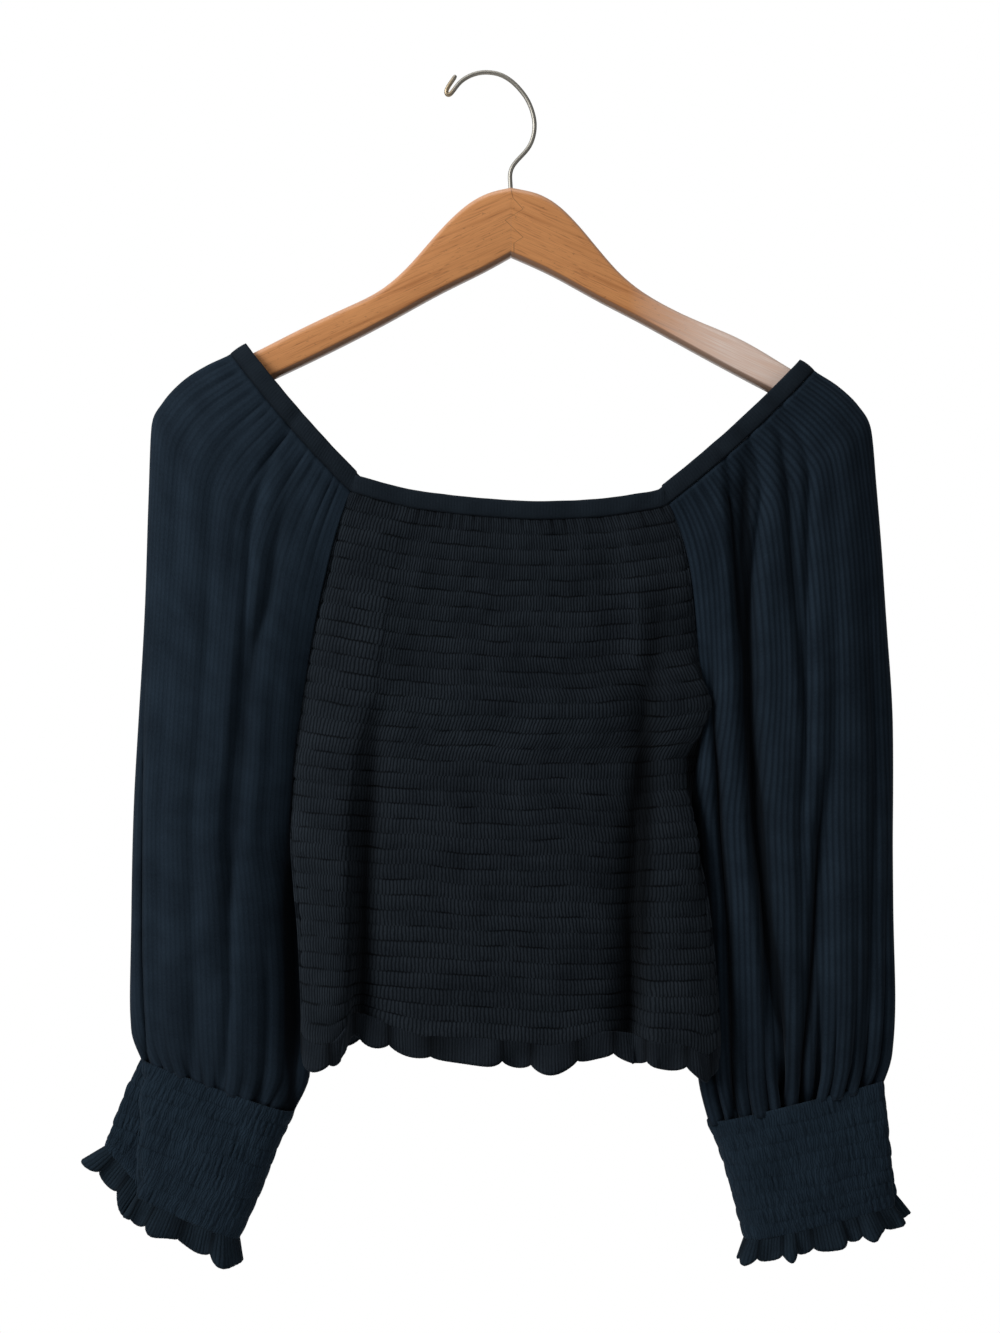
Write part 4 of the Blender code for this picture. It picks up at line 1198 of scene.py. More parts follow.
@dataclass
class Panel:
    """A smocked body panel between the two sleeves, front or back.

    `hem_ease` is how many columns on each side even out the hem above its last rows, and
    `fold_top` and `fold_end` are where the right armpit's fold starts and ends, and over
    how much it does.
    """

    facing: Facing
    rows: tuple[Row, ...]
    left: Sleeve
    right: Sleeve
    thread_rows: int = 34
    lines_a_row: int = 6
    columns: int = 150
    fine_steps: int = 1500
    lap: int = 6
    width: float = 0.26
    length: float = 0.34
    hem_ease: int = 40
    hem_from: float = 0.9
    seam_gap: float = 0.0003
    side_gap: float = 0.0002
    fold_top: tuple[float, float] = (0.368, 0.025)
    fold_end: tuple[float, float] = (0.530, 0.040)
    fold_lead: int = 14
    seam_share: float = 0.015
    rib_pitch: float = 0.0021
    dark_at: float = 0.0068
    hidden_shade: float = 1.3
    wall: float = 0.0013

    def __post_init__(self) -> None:
        """Works out the panel's grid."""
        self.name = self.facing.name.lower()
        self.lines = self.thread_rows * self.lines_a_row + 1
        self.shirring = Shirring(self.thread_rows, 0.00060, 0.0007, 70 + self.facing.value)
        self.puckers = Gathers(30, 0.0014, 0.007, 90 + self.facing.value, 3.0)
        self.fine = self.fine_columns()
        self.hidden = np.zeros((self.lines, self.columns))
        self.points = self.grid()

    def fine_columns(self) -> dict[str, Array]:
        """The table's columns, drawn fine and spaced evenly across the cloth.

        Returns:
            One array for each name.
        """
        column = table(PANEL_COLUMNS, self.rows)
        rows = np.arange(len(self.rows), dtype=float)
        dense = np.linspace(0, rows[-1], self.fine_steps)
        across = smooth(rows, column["low_across"], dense) * self.width
        walked = walked_over(across, smooth(rows, column["low_out"], dense))
        at = np.interp(np.linspace(0, walked[-1], self.columns), walked, dense)
        return {name: smooth(rows, values, at) for name, values in column.items()}

    def heights(self, levels: Array) -> Array:
        """Each line's heights: only the last rows take up the hem's own waves.

        Args:
            levels: How far down each line is, 0 to 1.

        Returns:
            The grid's Z.
        """
        seam, hem = self.fine["seam_z"], self.fine["hem_z"]
        count = 2 * self.hem_ease + 1
        even = np.pad(hem, self.hem_ease, mode="edge")
        even = np.convolve(even, np.ones(count) / count, mode="valid")
        waved = as_share((levels - self.hem_from) / (1 - self.hem_from)) ** 1.5
        return seam + (even - seam) * levels + (hem - even) * waved

    def grid(self) -> Array:
        """The panel's points, line by line from the neck to the hem.

        Returns:
            Lines x columns x 3.
        """
        column, side = self.fine, table(SIDE_COLUMNS, SIDE_SEAMS)
        levels = np.linspace(0, 1, self.lines)[:, None]
        z = self.heights(levels)
        stops = np.array([0.0, MIDDLE_LEVEL, 1.0])
        outs = np.stack([column["top_out"], column["middle_out"], column["low_out"]])
        out = np.stack([smooth(stops, column_out, levels[:, 0]) for column_out in outs.T], axis=1)
        y = self.facing.value * out
        ease = as_share((levels - MIDDLE_LEVEL / 2) / (1 - MIDDLE_LEVEL / 2))
        across = column["top_across"] + (column["low_across"] - column["top_across"]) * ease
        ends = []
        for edge, sleeve, side_x, inward in (
            (0, self.left, side["left_x"], 1),
            (-1, self.right, side["right_x"], -1),
        ):
            seam, drop = sleeve.edge(self.facing), -z[:, edge]
            x = np.interp(drop, -seam[:, 2], seam[:, 0]) + inward * self.seam_gap
            edge_y = np.interp(drop, -seam[:, 2], seam[:, 1])
            side_y = smooth(-side["z"], side["y"], drop) + self.facing.value * self.side_gap
            is_below = drop > -seam[-1, 2]
            y[:, edge] = np.where(is_below, side_y, edge_y)
            ends.append(np.where(is_below, smooth(-side["z"], side_x, drop), x))
        x = ends[0][:, None] + (ends[1] - ends[0])[:, None] * across
        if self.facing is Facing.FRONT:
            self.fold_over(x, y, -z[:, -1])
        return np.stack([x, y, z], axis=2)

    def fold_over(self, x: Array, y: Array, drop: Array) -> None:
        """Folds the right armpit's edge forward over the sleeve, and back to its seam.

        Args:
            x: The panel's places across, changed here.
            y: Its places forward, changed here.
            drop: How far down each line's right end lies.
        """
        fall, edge_x, edge_y = np.array(ARMPIT_EDGE).T
        fold_x, fold_y = smooth(-fall, edge_x, drop)[:, None], smooth(-fall, edge_y, drop)[:, None]
        (top, top_run), (end, end_run) = self.fold_top, self.fold_end
        share = (as_share((drop - top) / top_run) * as_share((end - drop) / end_run))[:, None]
        back = np.linspace(0, 1, self.lap + 1)[1:]
        seam_x, seam_y, left = x[:, -1:].copy(), y[:, -1:].copy(), x[:, :1].copy()
        across = (x - left) / (seam_x - left)
        last = across[:, -self.lap - 1 : -self.lap]
        reach = np.minimum(across / (last * share + 1 - share), 1.0)
        inner, outer = slice(None, -self.lap), slice(-self.lap, None)
        wide = (1 - share) * seam_x + share * fold_x
        x[:, inner] = (left + (wide - left) * reach)[:, inner]
        near = slice(-self.lap - self.fold_lead, -self.lap)
        y[:, near] += share * (np.minimum(y[:, near], fold_y) - y[:, near])
        # the return behind the fold is marked for painted shade
        self.hidden[:, outer] = share
        x[:, outer] += share * (fold_x + (seam_x - fold_x) * back - x[:, outer])
        y[:, outer] += share * (fold_y + (seam_y - fold_y) * back - y[:, outer])

    def outward(self) -> Array:
        """The panel's way out at each point."""
        return outward_of(self.points, False, float(self.facing.value))

    def build(self, finish: KnitFinish) -> Piece:
        """Lays the panel's cloth with its rows of shirring.

        Args:
            finish: The smocked knit.

        Returns:
            The finished piece.
        """
        sheet = Sheet(self.points, float(self.facing.value))
        place, level = shares(self.lines, self.columns)
        keep = as_share(np.minimum(place, 1 - place) / self.seam_share)
        below = level * self.length
        out = self.shirring.lift(place, level) - self.puckers.pull(place, below)
        out *= keep * as_share(level * self.thread_rows)
        creases = FRONT_CREASES if self.facing is Facing.FRONT else ()
        trough = creased(self.points, creases)
        points = self.points + self.outward() * out[..., None]
        points[..., 1] += trough
        # painted shade: darkening painted into the colour in the puckers, the troughs and the
        # return behind the armpit's fold
        shade = self.puckers.shade(place, below) + trough / self.dark_at
        marks = {
            RIB_TURNS: sheet.cloth[..., 0] / self.rib_pitch,
            RIB_RISE: 1.0,
            THREAD_ROWS: self.shirring.phase(place, level),
            SHADE: as_share(shade + self.hidden_shade * self.hidden),
        }
        return finish.put_on(grid_object(self.name, sheet, points, **marks), self.wall)


@dataclass
class NeckBinding:
    """One band round the whole neckline, above the four pieces that it holds.

    `skipped` is how many of a panel's points it passes over at each corner, and `easing`
    how many on each side round the corner off.
    """

    front: Panel
    back: Panel
    left: Sleeve
    right: Sleeve
    columns: int = 1000
    lines: int = 9
    skipped: int = 3
    easing: int = 3
    lap: float = 0.0002
    bulge: float = 0.0006
    ripple: float = 0.00015
    ribs: int = 480
    seam_shade: float = 0.6
    wall: float = 0.0015

    def rows(self) -> tuple[Array, Array]:
        """The band's two edges, all round from the left sleeve's front.

        Returns:
            Its free edge and its seam.
        """
        top, seam = [], []
        for sleeve, step in ((self.left, 1), (self.right, -1)):
            top.append(sleeve.top_ring[::step])
            seam.append(sleeve.points[0][::step])
        inner = slice(self.skipped, -self.skipped)
        for panel, step, place in ((self.back, 1, 1), (self.front, -1, 3)):
            line = panel.points[0][inner][::step]
            edge = line.copy()
            edge[:, 2] = panel.fine["edge_z"][inner][::step]
            top.insert(place, edge)
            seam.insert(place, line)
        return np.concatenate(top), np.concatenate(seam)

    def even(self, row: Array, walked: Array) -> Array:
        """Spaces a row evenly round the band and eases its corners.

        Args:
            row: The row.
            walked: How far round the band each of its points lies.

        Returns:
            The row's new points.
        """
        at = np.linspace(0, walked[-1], self.columns, endpoint=False)
        spread = path_at(at, walked, looped(row))
        shifts = range(-self.easing, self.easing + 1)
        return sum(np.roll(spread, shift, axis=0) for shift in shifts) / len(shifts)

    def build(self, finish: KnitFinish) -> Piece:
        """Lays the band with its rolled top.

        Args:
            finish: The flat knit.

        Returns:
            The finished piece.
        """
        top, seam = self.rows()
        walked = lengths_along(looped(seam))
        top, seam = self.even(top, walked), self.even(seam, walked)
        place, level = shares(self.lines, self.columns, closed=True)
        points = top + (seam - top) * level[..., None]
        points[-1] -= self.lap * unit(seam - top)
        ripple = Unevenness(101, (20, 70), (0.0, 0.4)).at(place, level)
        bulge = np.sin(np.pi * np.clip(level, 0.02, 0.98)) ** 0.6
        out = self.bulge * bulge + self.ripple * ripple * bulge
        sheet = Sheet(points, 1.0, closed_from=0)
        moved = points + outward_of(points, True, 1.0) * out[..., None]
        # painted shade along the band's seam
        marks = {RIB_TURNS: place * self.ribs, RIB_RISE: bulge, SHADE: self.seam_shade * level**8}
        return finish.put_on(grid_object("neck_binding", sheet, moved, **marks), self.wall)


@dataclass
class Cuff:
    """A smocked cuff, from its sleeve's last ring down to its ruffle."""

    sleeve: Sleeve
    rows: tuple[Row, ...]
    columns: int = 280
    lines: int = 61
    thread_rows: int = 8
    top_share: float = 0.99
    seam_gap: float = 0.0004
    fall_lines: int = 17
    spread: tuple[float, float] = (0.30, 0.35)
    puff_share: float = 0.8
    crinkles: tuple[float, float] = (0.8, 0.5)
    crinkle: float = 0.00030
    crinkle_shade: float = 0.24
    row_step: float = 0.371
    end_ease: float = 0.02
    ribs: int = 150
    wall: float = 0.0013

    def __post_init__(self) -> None:
        """Works out the cuff's grid."""
        self.hand = self.sleeve.hand
        self.name = f"cuff_{self.hand.name.lower()}"
        self.shirring = Shirring(self.thread_rows, 0.0005, 0.0003, 120 + self.hand.value)
        corners = np.array([self.ring(row) for row in (self.top(), *self.rows)])
        stops, levels = np.linspace(0, 1, len(corners)), np.linspace(0, 1, self.lines)
        self.points = np.empty((self.lines, self.columns, 3))
        for c in range(self.columns):
            for k in range(3):
                self.points[:, c, k] = smooth(stops, corners[:, c, k], levels)
        self.points[..., 2] -= self.seam_gap

    def top(self) -> Row:
        """The cuff's first row, on the line of the sleeve's last ring.

        Returns:
            A row like those of the cuff's own table.
        """
        ring = dict(zip(SLEEVE_COLUMNS, self.sleeve.rows[-1]))
        seam = np.array([ring["seam_x"], ring["seam_z"]])
        outer = np.array([ring["outer_x"], ring["outer_z"]])
        edge = seam + self.top_share * (outer - seam)
        return (*seam, *edge, *outer, ring["half_depth"], ring["half_depth"])

    def ring(self, row: Row) -> Array:
        """One ring: front layer, outer edge, the fan behind it, back layer.

        Args:
            row: The ring's row of the table.

        Returns:
            Its points, spaced evenly.
        """
        ring = dict(zip(CUFF_RING_COLUMNS, row))
        corners = {
            corner: np.array([ring[corner + "_x"], 0.0, ring[corner + "_z"]])
            for corner in ("inner", "edge", "fan")
        }
        front, back = np.array([0, -ring["front"], 0]), np.array([0, ring["back"], 0])
        points = []
        for values in CUFF_POINTS:
            point = dict(zip(CUFF_POINT_COLUMNS, values))
            start, end = corners[point["start"]], corners[point["end"]]
            share = np.array([point["across"], 0, point["down"]])
            depth = point["front"] * front + point["back"] * back
            points.append(start + share * (end - start) + depth)
        padded = np.array([points[-1], *points, *points[:2]])
        return spaced(curve_through(padded), self.columns + 1)[:-1]

    def outward(self) -> Array:
        """The cuff's way out at each point."""
        return outward_of(self.points, True, float(self.hand.value))

    def fall(self) -> Array:
        """Which way the ruffle falls: on along the cuff, and out towards its two folds.

        Returns:
            One unit vector for each point of the last line.
        """
        end = self.points[-1]
        along = unit((end - self.points[-self.fall_lines]).mean(axis=0))
        aside = unit(np.cross(along, (0, 1, 0)))
        place = (end - end.mean(axis=0)) @ aside
        share = place / np.abs(place).max()
        flare = self.spread[0] * share + self.spread[1] * share**5
        return unit(along + flare[:, None] * aside)

    def build(self, finish: KnitFinish) -> Piece:
        """Lays the cuff with its rows and its crinkles.

        Args:
            finish: The crinkled knit.

        Returns:
            The finished piece.
        """
        sheet = Sheet(self.points, self.hand.value, closed_from=0)
        place, level = shares(self.lines, self.columns, closed=True)
        row = np.floor(level * self.thread_rows)
        fine = Unevenness(140 + self.hand.value, (30, 84), (0.0, 3.0), 26)
        broad = Unevenness(150 + self.hand.value, (9, 30), (1.0, 7.0))
        folds = self.crinkles[0] * fine.at(place + row * self.row_step, level)
        folds += self.crinkles[1] * broad.at(place, level)
        out = self.puff_share * self.shirring.lift(place, level) + self.crinkle * folds
        out *= as_share(np.minimum(level, 1 - level) / self.end_ease)
        points = self.points + self.outward() * out[..., None]
        marks = {
            RIB_TURNS: place * self.ribs,
            RIB_RISE: 1.0,
            THREAD_ROWS: self.shirring.phase(place, level),
            # painted shade in the hollows of the crinkles
            SHADE: as_share(-self.crinkle_shade * folds),
        }
        return finish.put_on(grid_object(self.name, sheet, points, **marks), self.wall)


@dataclass(frozen=True)
class RufflePattern:
    """How a rolled ruffle waves: a wave's length, its height and depth, and its chance."""

    wave: float
    height: float
    depth: float
    seed: int
    lines: int = 11
    step: float = 0.0005


@dataclass
class Ruffle:
    """A rolled-edge ruffle that falls on from the cloth above and waves towards its edge.

    It is sewn to `row`, `out` and `fall` are its ways out and down there, and `turn` is 1
    or -1, the side of its grid that is out. Each lobe's length is between the two
    `lengths` of the whole height, and `side_share` of its depth is lost where it faces
    sideways.
    """

    name: str
    row: Array
    out: Array
    fall: Array
    turn: float
    way: RufflePattern
    drift: float = 0.33
    unequal: float = 0.30
    lengths: tuple[float, float] = (0.72, 0.30)
    roundness: float = 0.6
    lean: float = 0.25
    side_share: float = 0.85
    spread: float = 1.3
    flute_pitch: float = 0.0024
    flute: float = 0.00016
    overlap: float = 0.0012
    stand_off: float = 0.0004
    rib_pitch: float = 0.0019
    edge_shade: float = 0.10
    pinch_shades: tuple[float, float] = (0.75, 0.15)
    wall: float = 0.0009
    roll: float = 0.00075
    thread_pitch: float = 0.0011

    def __post_init__(self) -> None:
        """Spaces the seam evenly and lays the ruffle's grid."""
        walked = lengths_along(looped(self.row))
        count = round(walked[-1] / self.way.step)
        at = np.linspace(0, walked[-1], count, endpoint=False)
        row, out, fall = (
            path_at(at, walked, looped(part)) for part in (self.row, self.out, self.fall)
        )
        self.place, self.around = at / walked[-1], float(walked[-1])
        self.points = self.sheet_points(row, unit(out), unit(fall))

    def sheet_points(self, row: Array, out: Array, fall: Array) -> Array:
        """The ruffle's grid, in rounded lobes.

        Args:
            row: The points of the seam, spaced evenly.
            out: The way out at each.
            fall: The way down at each.

        Returns:
            Its points, from just above the seam to the free edge.
        """
        way, place = self.way, self.place
        waves = 2 * max(1, round(self.around / way.wave / 2))
        drift = Unevenness(way.seed, (2, max(3, waves // 2))).at(place)
        turns = np.pi * (waves * place + self.drift * drift)
        size = 1.0 + self.unequal * Unevenness(way.seed + 1, (3, waves)).at(place)
        lobe = np.abs(np.sin(turns)) ** self.roundness
        swing = np.sin(turns) * size + self.lean
        flutes = round(self.around / self.flute_pitch)
        flutes = np.sin(2 * np.pi * flutes * place + 2.0 * drift)
        facing = 1.0 - self.side_share * np.abs(out[:, 0]) ** 1.5
        # painted shade between the lobes
        self.pinch = (1.0 - np.abs(np.sin(turns))) ** 2
        length = way.height * (self.lengths[0] + self.lengths[1] * lobe * (0.8 + 0.2 * size))
        lines = []
        for level in np.linspace(0, 1, way.lines):
            reach = way.depth * level**self.spread * swing * facing
            reach += self.flute * flutes * min(level * 3, 1.0) + self.stand_off * (1 - level)
            drop = level * length - self.overlap * (1 - level)
            lines.append(row + out * reach[:, None] + fall * drop[:, None])
        return np.array(lines)

    def build(self, finish: KnitFinish) -> Piece:
        """Lays the ruffle.

        Args:
            finish: Its knit.

        Returns:
            The finished piece.
        """
        sheet = Sheet(self.points, self.turn, closed_from=0)
        place = np.tile(self.place, (self.way.lines, 1))
        level = np.linspace(1, 0, self.way.lines)[:, None]
        # painted shade: darker between the lobes and towards the seam
        shade = self.pinch_shades[0] + self.pinch_shades[1] * level
        marks = {
            RIB_TURNS: place * round(self.around / self.rib_pitch),
            RIB_RISE: 1.0,
            SHADE: self.edge_shade * level**2 + self.pinch * shade,
        }
        return finish.put_on(grid_object(self.name, sheet, self.points, **marks), self.wall)

    def edge(self, finish: KnitFinish) -> Piece:
        """Winds the thread of the rolled hem round the ruffle's free edge.

        Args:
            finish: The ruffle's knit, made already.

        Returns:
            The finished trim.
        """
        path = self.points[-1]
        mesh = bpy.data.meshes.new(self.name + "_edge")
        edges = [(k, (k + 1) % len(path)) for k in range(len(path))]
        mesh.from_pydata([tuple(point) for point in path.tolist()], edges, [])
        piece = linked(mesh.name, mesh)
        sizes = {"radius": self.roll, "thread_pitch": self.thread_pitch}
        rolled_edge().put_on(piece, finish=bpy.data.materials[finish.name], **sizes)
        solid(piece).data.shade_smooth()
        return piece


# ---- hanger


@dataclass
class Hanger:
    """The wooden hanger: two finger-jointed arms and a bent steel hook.

    Each of the `tips` is how far past an arm's last station one more ring lies, as a share
    of `tip_length`, and how much of the height is left there.
    """

    half_thickness: float = 0.006
    corner: float = 0.0045
    corner_points: int = 7
    stations: int = 130
    easing: int = 7
    joint_gap: float = 0.00004
    tips: tuple[tuple[float, float], ...] = ((0.35, 0.86), (0.62, 0.62), (0.78, 0.34))
    tip_length: float = 0.0012
    tip_fullness: float = 0.5
    rim_share: float = 0.8
    sharp_degrees: float = 50.0
    wire_radius: float = 0.0014
    wire_stations: int = 200
    wire_sides: int = 18
    wire_easing: int = 12
    wire_tip: tuple[float, float, float] = (0.97, 0.86, 0.6)

    def section(self, top: float, bottom: float, fullness: float) -> Array:
        """A rounded upright section of an arm.

        Args:
            top: Its top.
            bottom: Its bottom.
            fullness: The share of the arm's thickness that it has.

        Returns:
            Its points all round, as y and z.
        """
        half, corner = self.half_thickness * fullness, self.corner * fullness
        turn = np.linspace(0, np.pi / 2, self.corner_points)
        y = half - corner + corner * np.sin(turn)
        z = corner * (1 - np.cos(turn))
        upper = np.stack([y, top - z], axis=1)
        lower = np.stack([y, bottom + z], axis=1)[::-1]
        right = np.concatenate([upper, lower])
        return np.concatenate([right, right[::-1] * (-1, 1)])

    def eased(self, sizes: Array) -> Array:
        """Rounds a row's corners and keeps its ends.

        Args:
            sizes: The row of sizes.

        Returns:
            The new row.
        """
        count = 2 * self.easing + 1
        padded = np.pad(sizes, self.easing, mode="reflect", reflect_type="odd")
        return np.convolve(padded, np.ones(count) / count, mode="valid")

    def arm(self, name: str, rows: tuple[Row, ...], finish: WoodFinish) -> Piece:
        """One arm, from the joint in the middle to its rounded tip.

        Args:
            name: The node that the piece dresses.
            rows: The stations along it.
            finish: The wood.

        Returns:
            The finished piece.
        """
        arm = table(ARM_COLUMNS, rows)
        way = math.copysign(1.0, arm["x"][-1] - arm["x"][0])
        arm["x"][0] = JOINT_X + way * self.joint_gap
        walk = arm["x"] * way
        stops = np.linspace(walk[0], walk[-1], self.stations)
        sizes = {key: self.eased(smooth(walk, values, stops)) for key, values in arm.items()}
        middle = (arm["top"][-1] + arm["bottom"][-1]) / 2
        for past, share in self.tips:
            half = (arm["top"][-1] - arm["bottom"][-1]) / 2 * share
            x = arm["x"][-1] + way * self.tip_length * past
            ends = (x, middle + half, middle - half, self.tip_fullness * share)
            for key, value in zip(ARM_COLUMNS, ends):
                sizes[key] = np.append(sizes[key], value)
        stations = zip(*(sizes[key] for key in ARM_COLUMNS))
        rings = [np.insert(self.section(*size), 0, x, axis=1) for x, *size in stations]
        rings = np.array(rings)
        heights, reach = rings[..., 2], self.rim_share * self.corner
        above, below = heights.max(axis=1)[:, None], heights.min(axis=1)[:, None]
        # rim marks the top and lower rounded edges, where the wood takes its painted highlight and
        # painted shade
        rim = as_share((heights - above) / reach + 1) - as_share((below - heights) / reach + 1)
        piece = grid_object(name, Sheet(rings, way, closed_from=0), rings, **{RIM: rim})
        close_ends(piece, rings.shape[1])
        piece.data.set_sharp_from_angle(angle=math.radians(self.sharp_degrees))
        return finish.put_on(piece)

    def hook(self, finish: SteelFinish) -> Piece:
        """The hook, a wire along a smooth curve through its route.

        Args:
            finish: The steel.

        Returns:
            The finished piece.
        """
        route = table(HOOK_COLUMNS, HOOK_ROUTE)
        flat = np.stack([route["x"], np.zeros(len(HOOK_ROUTE)), route["z"]], axis=1)
        first, last = 2 * flat[0] - flat[1], 2 * flat[-1] - flat[-2]
        wire = spaced(curve_through(np.array([first, *flat, last])), self.wire_stations)
        for _ in range(self.wire_easing):
            wire[1:-1] = (wire[:-2] + 2 * wire[1:-1] + wire[2:]) / 4
        along = unit(np.gradient(wire, axis=0))
        side = np.cross(along, (0.0, 1.0, 0.0))
        turn = np.linspace(0, 2 * np.pi, self.wire_sides, endpoint=False)[:, None]
        spread = np.cos(turn)[None] * side[:, None] + np.sin(turn)[None] * np.array([0, 1.0, 0])
        radius = np.full(len(wire), self.wire_radius)
        radius[-len(self.wire_tip) :] *= self.wire_tip
        rings = wire[:, None] + spread * radius[:, None, None]
        piece = grid_object("hook", Sheet(rings, 1.0, closed_from=0), rings)
        close_ends(piece, rings.shape[1])
        return finish.put_on(piece)


def close_ends(piece: Piece, columns: int) -> None:
    """Closes a tube's two ends and turns its faces outward.

    Args:
        piece: The tube.
        columns: How many points each of its rings has.
    """
    form = bmesh.new()
    form.from_mesh(piece.data)
    form.verts.ensure_lookup_table()
    form.faces.new(form.verts[:columns])
    form.faces.new(form.verts[-columns:])
    bmesh.ops.recalc_face_normals(form, faces=form.faces)
    form.to_mesh(piece.data)
    form.free()


# ---- finishes


class Shader(Nodes):
    """Builds one material round its Principled BSDF."""

    def __init__(self, name: str) -> None:
        """Starts an empty material.

        Args:
            name: Its name.
        """
        self.material = bpy.data.materials.new(name)
        self.material.use_nodes = True
        super().__init__(self.material.node_tree)
        self.surface = self.tree.nodes["Principled BSDF"].inputs

    def look(self, **looks: Any) -> bpy.types.Material:
        """Sets the surface's sockets.

        Args:
            looks: A value or a link for each, by its name with underscores.

        Returns:
            The material.
        """
        for name, value in looks.items():
            self.put(self.surface[name.replace("_", " ")], value)
        return self.material

    def parts(self, where: Any) -> tuple[Any, Value, Value, Value]:
        """A vector, then its three parts."""
        split = self.node("ShaderNodeSeparateXYZ", {0: where}).outputs
        return (where, *(self.value(split[k]) for k in range(3)))

    def mark(self, name: str) -> Value:
        """A number that the mesh carries at each point."""
        return self.value(self.node("ShaderNodeAttribute", attribute_name=name).outputs["Fac"])

    def noise(self, where: Any, scale: Scale, detail: float = 2.0) -> Value:
        """A noise texture's value at a place.

        Args:
            where: The place.
            scale: One scale, or one for each axis.
            detail: The texture's detail.

        Returns:
            The value.
        """
        if isinstance(scale, tuple):
            values = {0: where, 1: scale}
            where, scale = self.first("ShaderNodeVectorMath", values, operation="MULTIPLY"), 1.0
        values = {"Vector": where, "Scale": scale, "Detail": detail}
        return self.value(self.first("ShaderNodeTexNoise", values))

    def mix(self, share: Any, first: Any, second: Any) -> Any:
        """A mix of two colours.

        Args:
            share: How much of the second there is, 0 to 1.
            first: The first, a link or three numbers.
            second: The second.

        Returns:
            Its link.
        """
        made = self.node("ShaderNodeMix", data_type="RGBA")
        for slot, value in zip((0, 6, 7), (share, first, second)):
            self.put(made.inputs[slot], (*value, 1.0) if isinstance(value, tuple) else value)
        return made.outputs[2]

    def bump(self, height: Value, strength: float, distance: float) -> Any:
        """A surface's normal, raised by a height."""
        values = {"Height": height, "Strength": strength, "Distance": distance}
        return self.first("ShaderNodeBump", values)


@dataclass(frozen=True)
class KnitFinish:
    """A soft matte knit, near black, with painted shade in its rib grooves, creases and pinched
    rows.
    """

    name: str
    dark: Color
    light: Color
    rib_rise: float = 0.0
    # how much painted shade the rib grooves take
    groove: float = 0.5
    # how much the painted shade mark darkens the colour
    crease: float = 0.85
    wander: float = 0.0
    rib_bump: float = 0.8
    # how strong the painted shade along the pinched rows is
    thread: float = 0.0
    grain: float = 0.35
    # the share of `dark` that full painted shade reaches
    deep_share: float = 0.2
    roughness: float = 0.94
    specular: float = 0.07
    sheen: float = 0.05
    sheen_roughness: float = 0.45
    sheen_tint: tuple[float, ...] = (0.55, 0.68, 0.85, 1.0)
    bump: tuple[float, float] = (0.6, 0.0005)
    dash_scale: float = 55.0
    dash_half: float = 0.10
    jog: float = 0.16

    def thread_line(self, shader: Shader, along: Value, rows: Value) -> Value:
        """Painted shade along the pinched rows of thread, in uneven dashes that jog up and down.

        Args:
            shader: The material.
            along: How far across the cloth, in metres.
            rows: How many rows of thread lie above.

        Returns:
            A darkness from 0 to 1.
        """
        nearest = (rows + 0.5).math("FLOOR")
        values = {0: along * self.dash_scale, 1: nearest * 7.31}
        spot = shader.first("ShaderNodeCombineXYZ", values)
        dash, jog = shader.noise(spot, 1.0, 1.0), shader.noise(spot, 1.7, 0.0)
        off = (rows - nearest + (jog - 0.5) * self.jog).math("ABSOLUTE")
        near = (1.0 - off / self.dash_half).clamped() ** 0.6
        return near * ((dash - 0.40) * 5.0).clamped() * self.thread

    def material(self) -> bpy.types.Material:
        """The knit: heather, and painted shade in its rib grooves, creases and pinched rows.

        Returns:
            Its material.
        """
        shader = Shader(self.name)
        where, along, *_ = shader.parts(
            shader.node("ShaderNodeUVMap", uv_map=CLOTH_MAP).outputs["UV"]
        )
        turns, rows, shade = (shader.mark(name) for name in (RIB_TURNS, THREAD_ROWS, SHADE))
        wander = shader.noise(where, (230, 160, 1), 1.0)
        ribs = (turns + rows.math("FLOOR") * 0.37 + wander * self.wander) * (2 * math.pi)
        groove = (ribs.math("COSINE") * 0.5 + 0.5) ** 2.2 * shader.mark(RIB_RISE)
        heather = shader.noise(where, (1100, 700, 1))
        tone = heather * 0.55 + shader.noise(where, 38.0, 3.0) * 0.8 - 0.20
        # painted shade in the rib grooves
        tone = (tone * (1.0 - groove * self.groove)).clamped()
        color = shader.mix(tone, self.dark, self.light)
        # painted shade: creases, gathers and pinched rows darken towards the deepest colour
        dark = (shade * self.crease + self.thread_line(shader, along, rows)).clamped()
        deepest = tuple(self.deep_share * part for part in self.dark)
        return shader.look(
            Base_Color=shader.mix(dark, color, deepest),
            Roughness=self.roughness,
            Specular_IOR_Level=self.specular,
            Sheen_Weight=self.sheen,
            Sheen_Roughness=self.sheen_roughness,
            Sheen_Tint=self.sheen_tint,
            Normal=shader.bump(heather * self.grain - groove * self.rib_bump, *self.bump),
        )

    def put_on(self, piece: Piece, wall: float) -> Piece:
        """Raises the ribs, gives the cloth its thickness and dresses it.

        Args:
            piece: The laid cloth.
            wall: Its thickness in metres.

        Returns:
            The finished piece.
        """
        material = bpy.data.materials.get(self.name) or self.material()
        piece.data.materials.append(material)
        raised_ribs().put_on(piece, rib_height=self.rib_rise, finish=material)
        shell = piece.modifiers.new("wall", "SOLIDIFY")
        shell.thickness, shell.offset = wall, -1.0
        shell.use_even_offset = False
        return solid(piece)


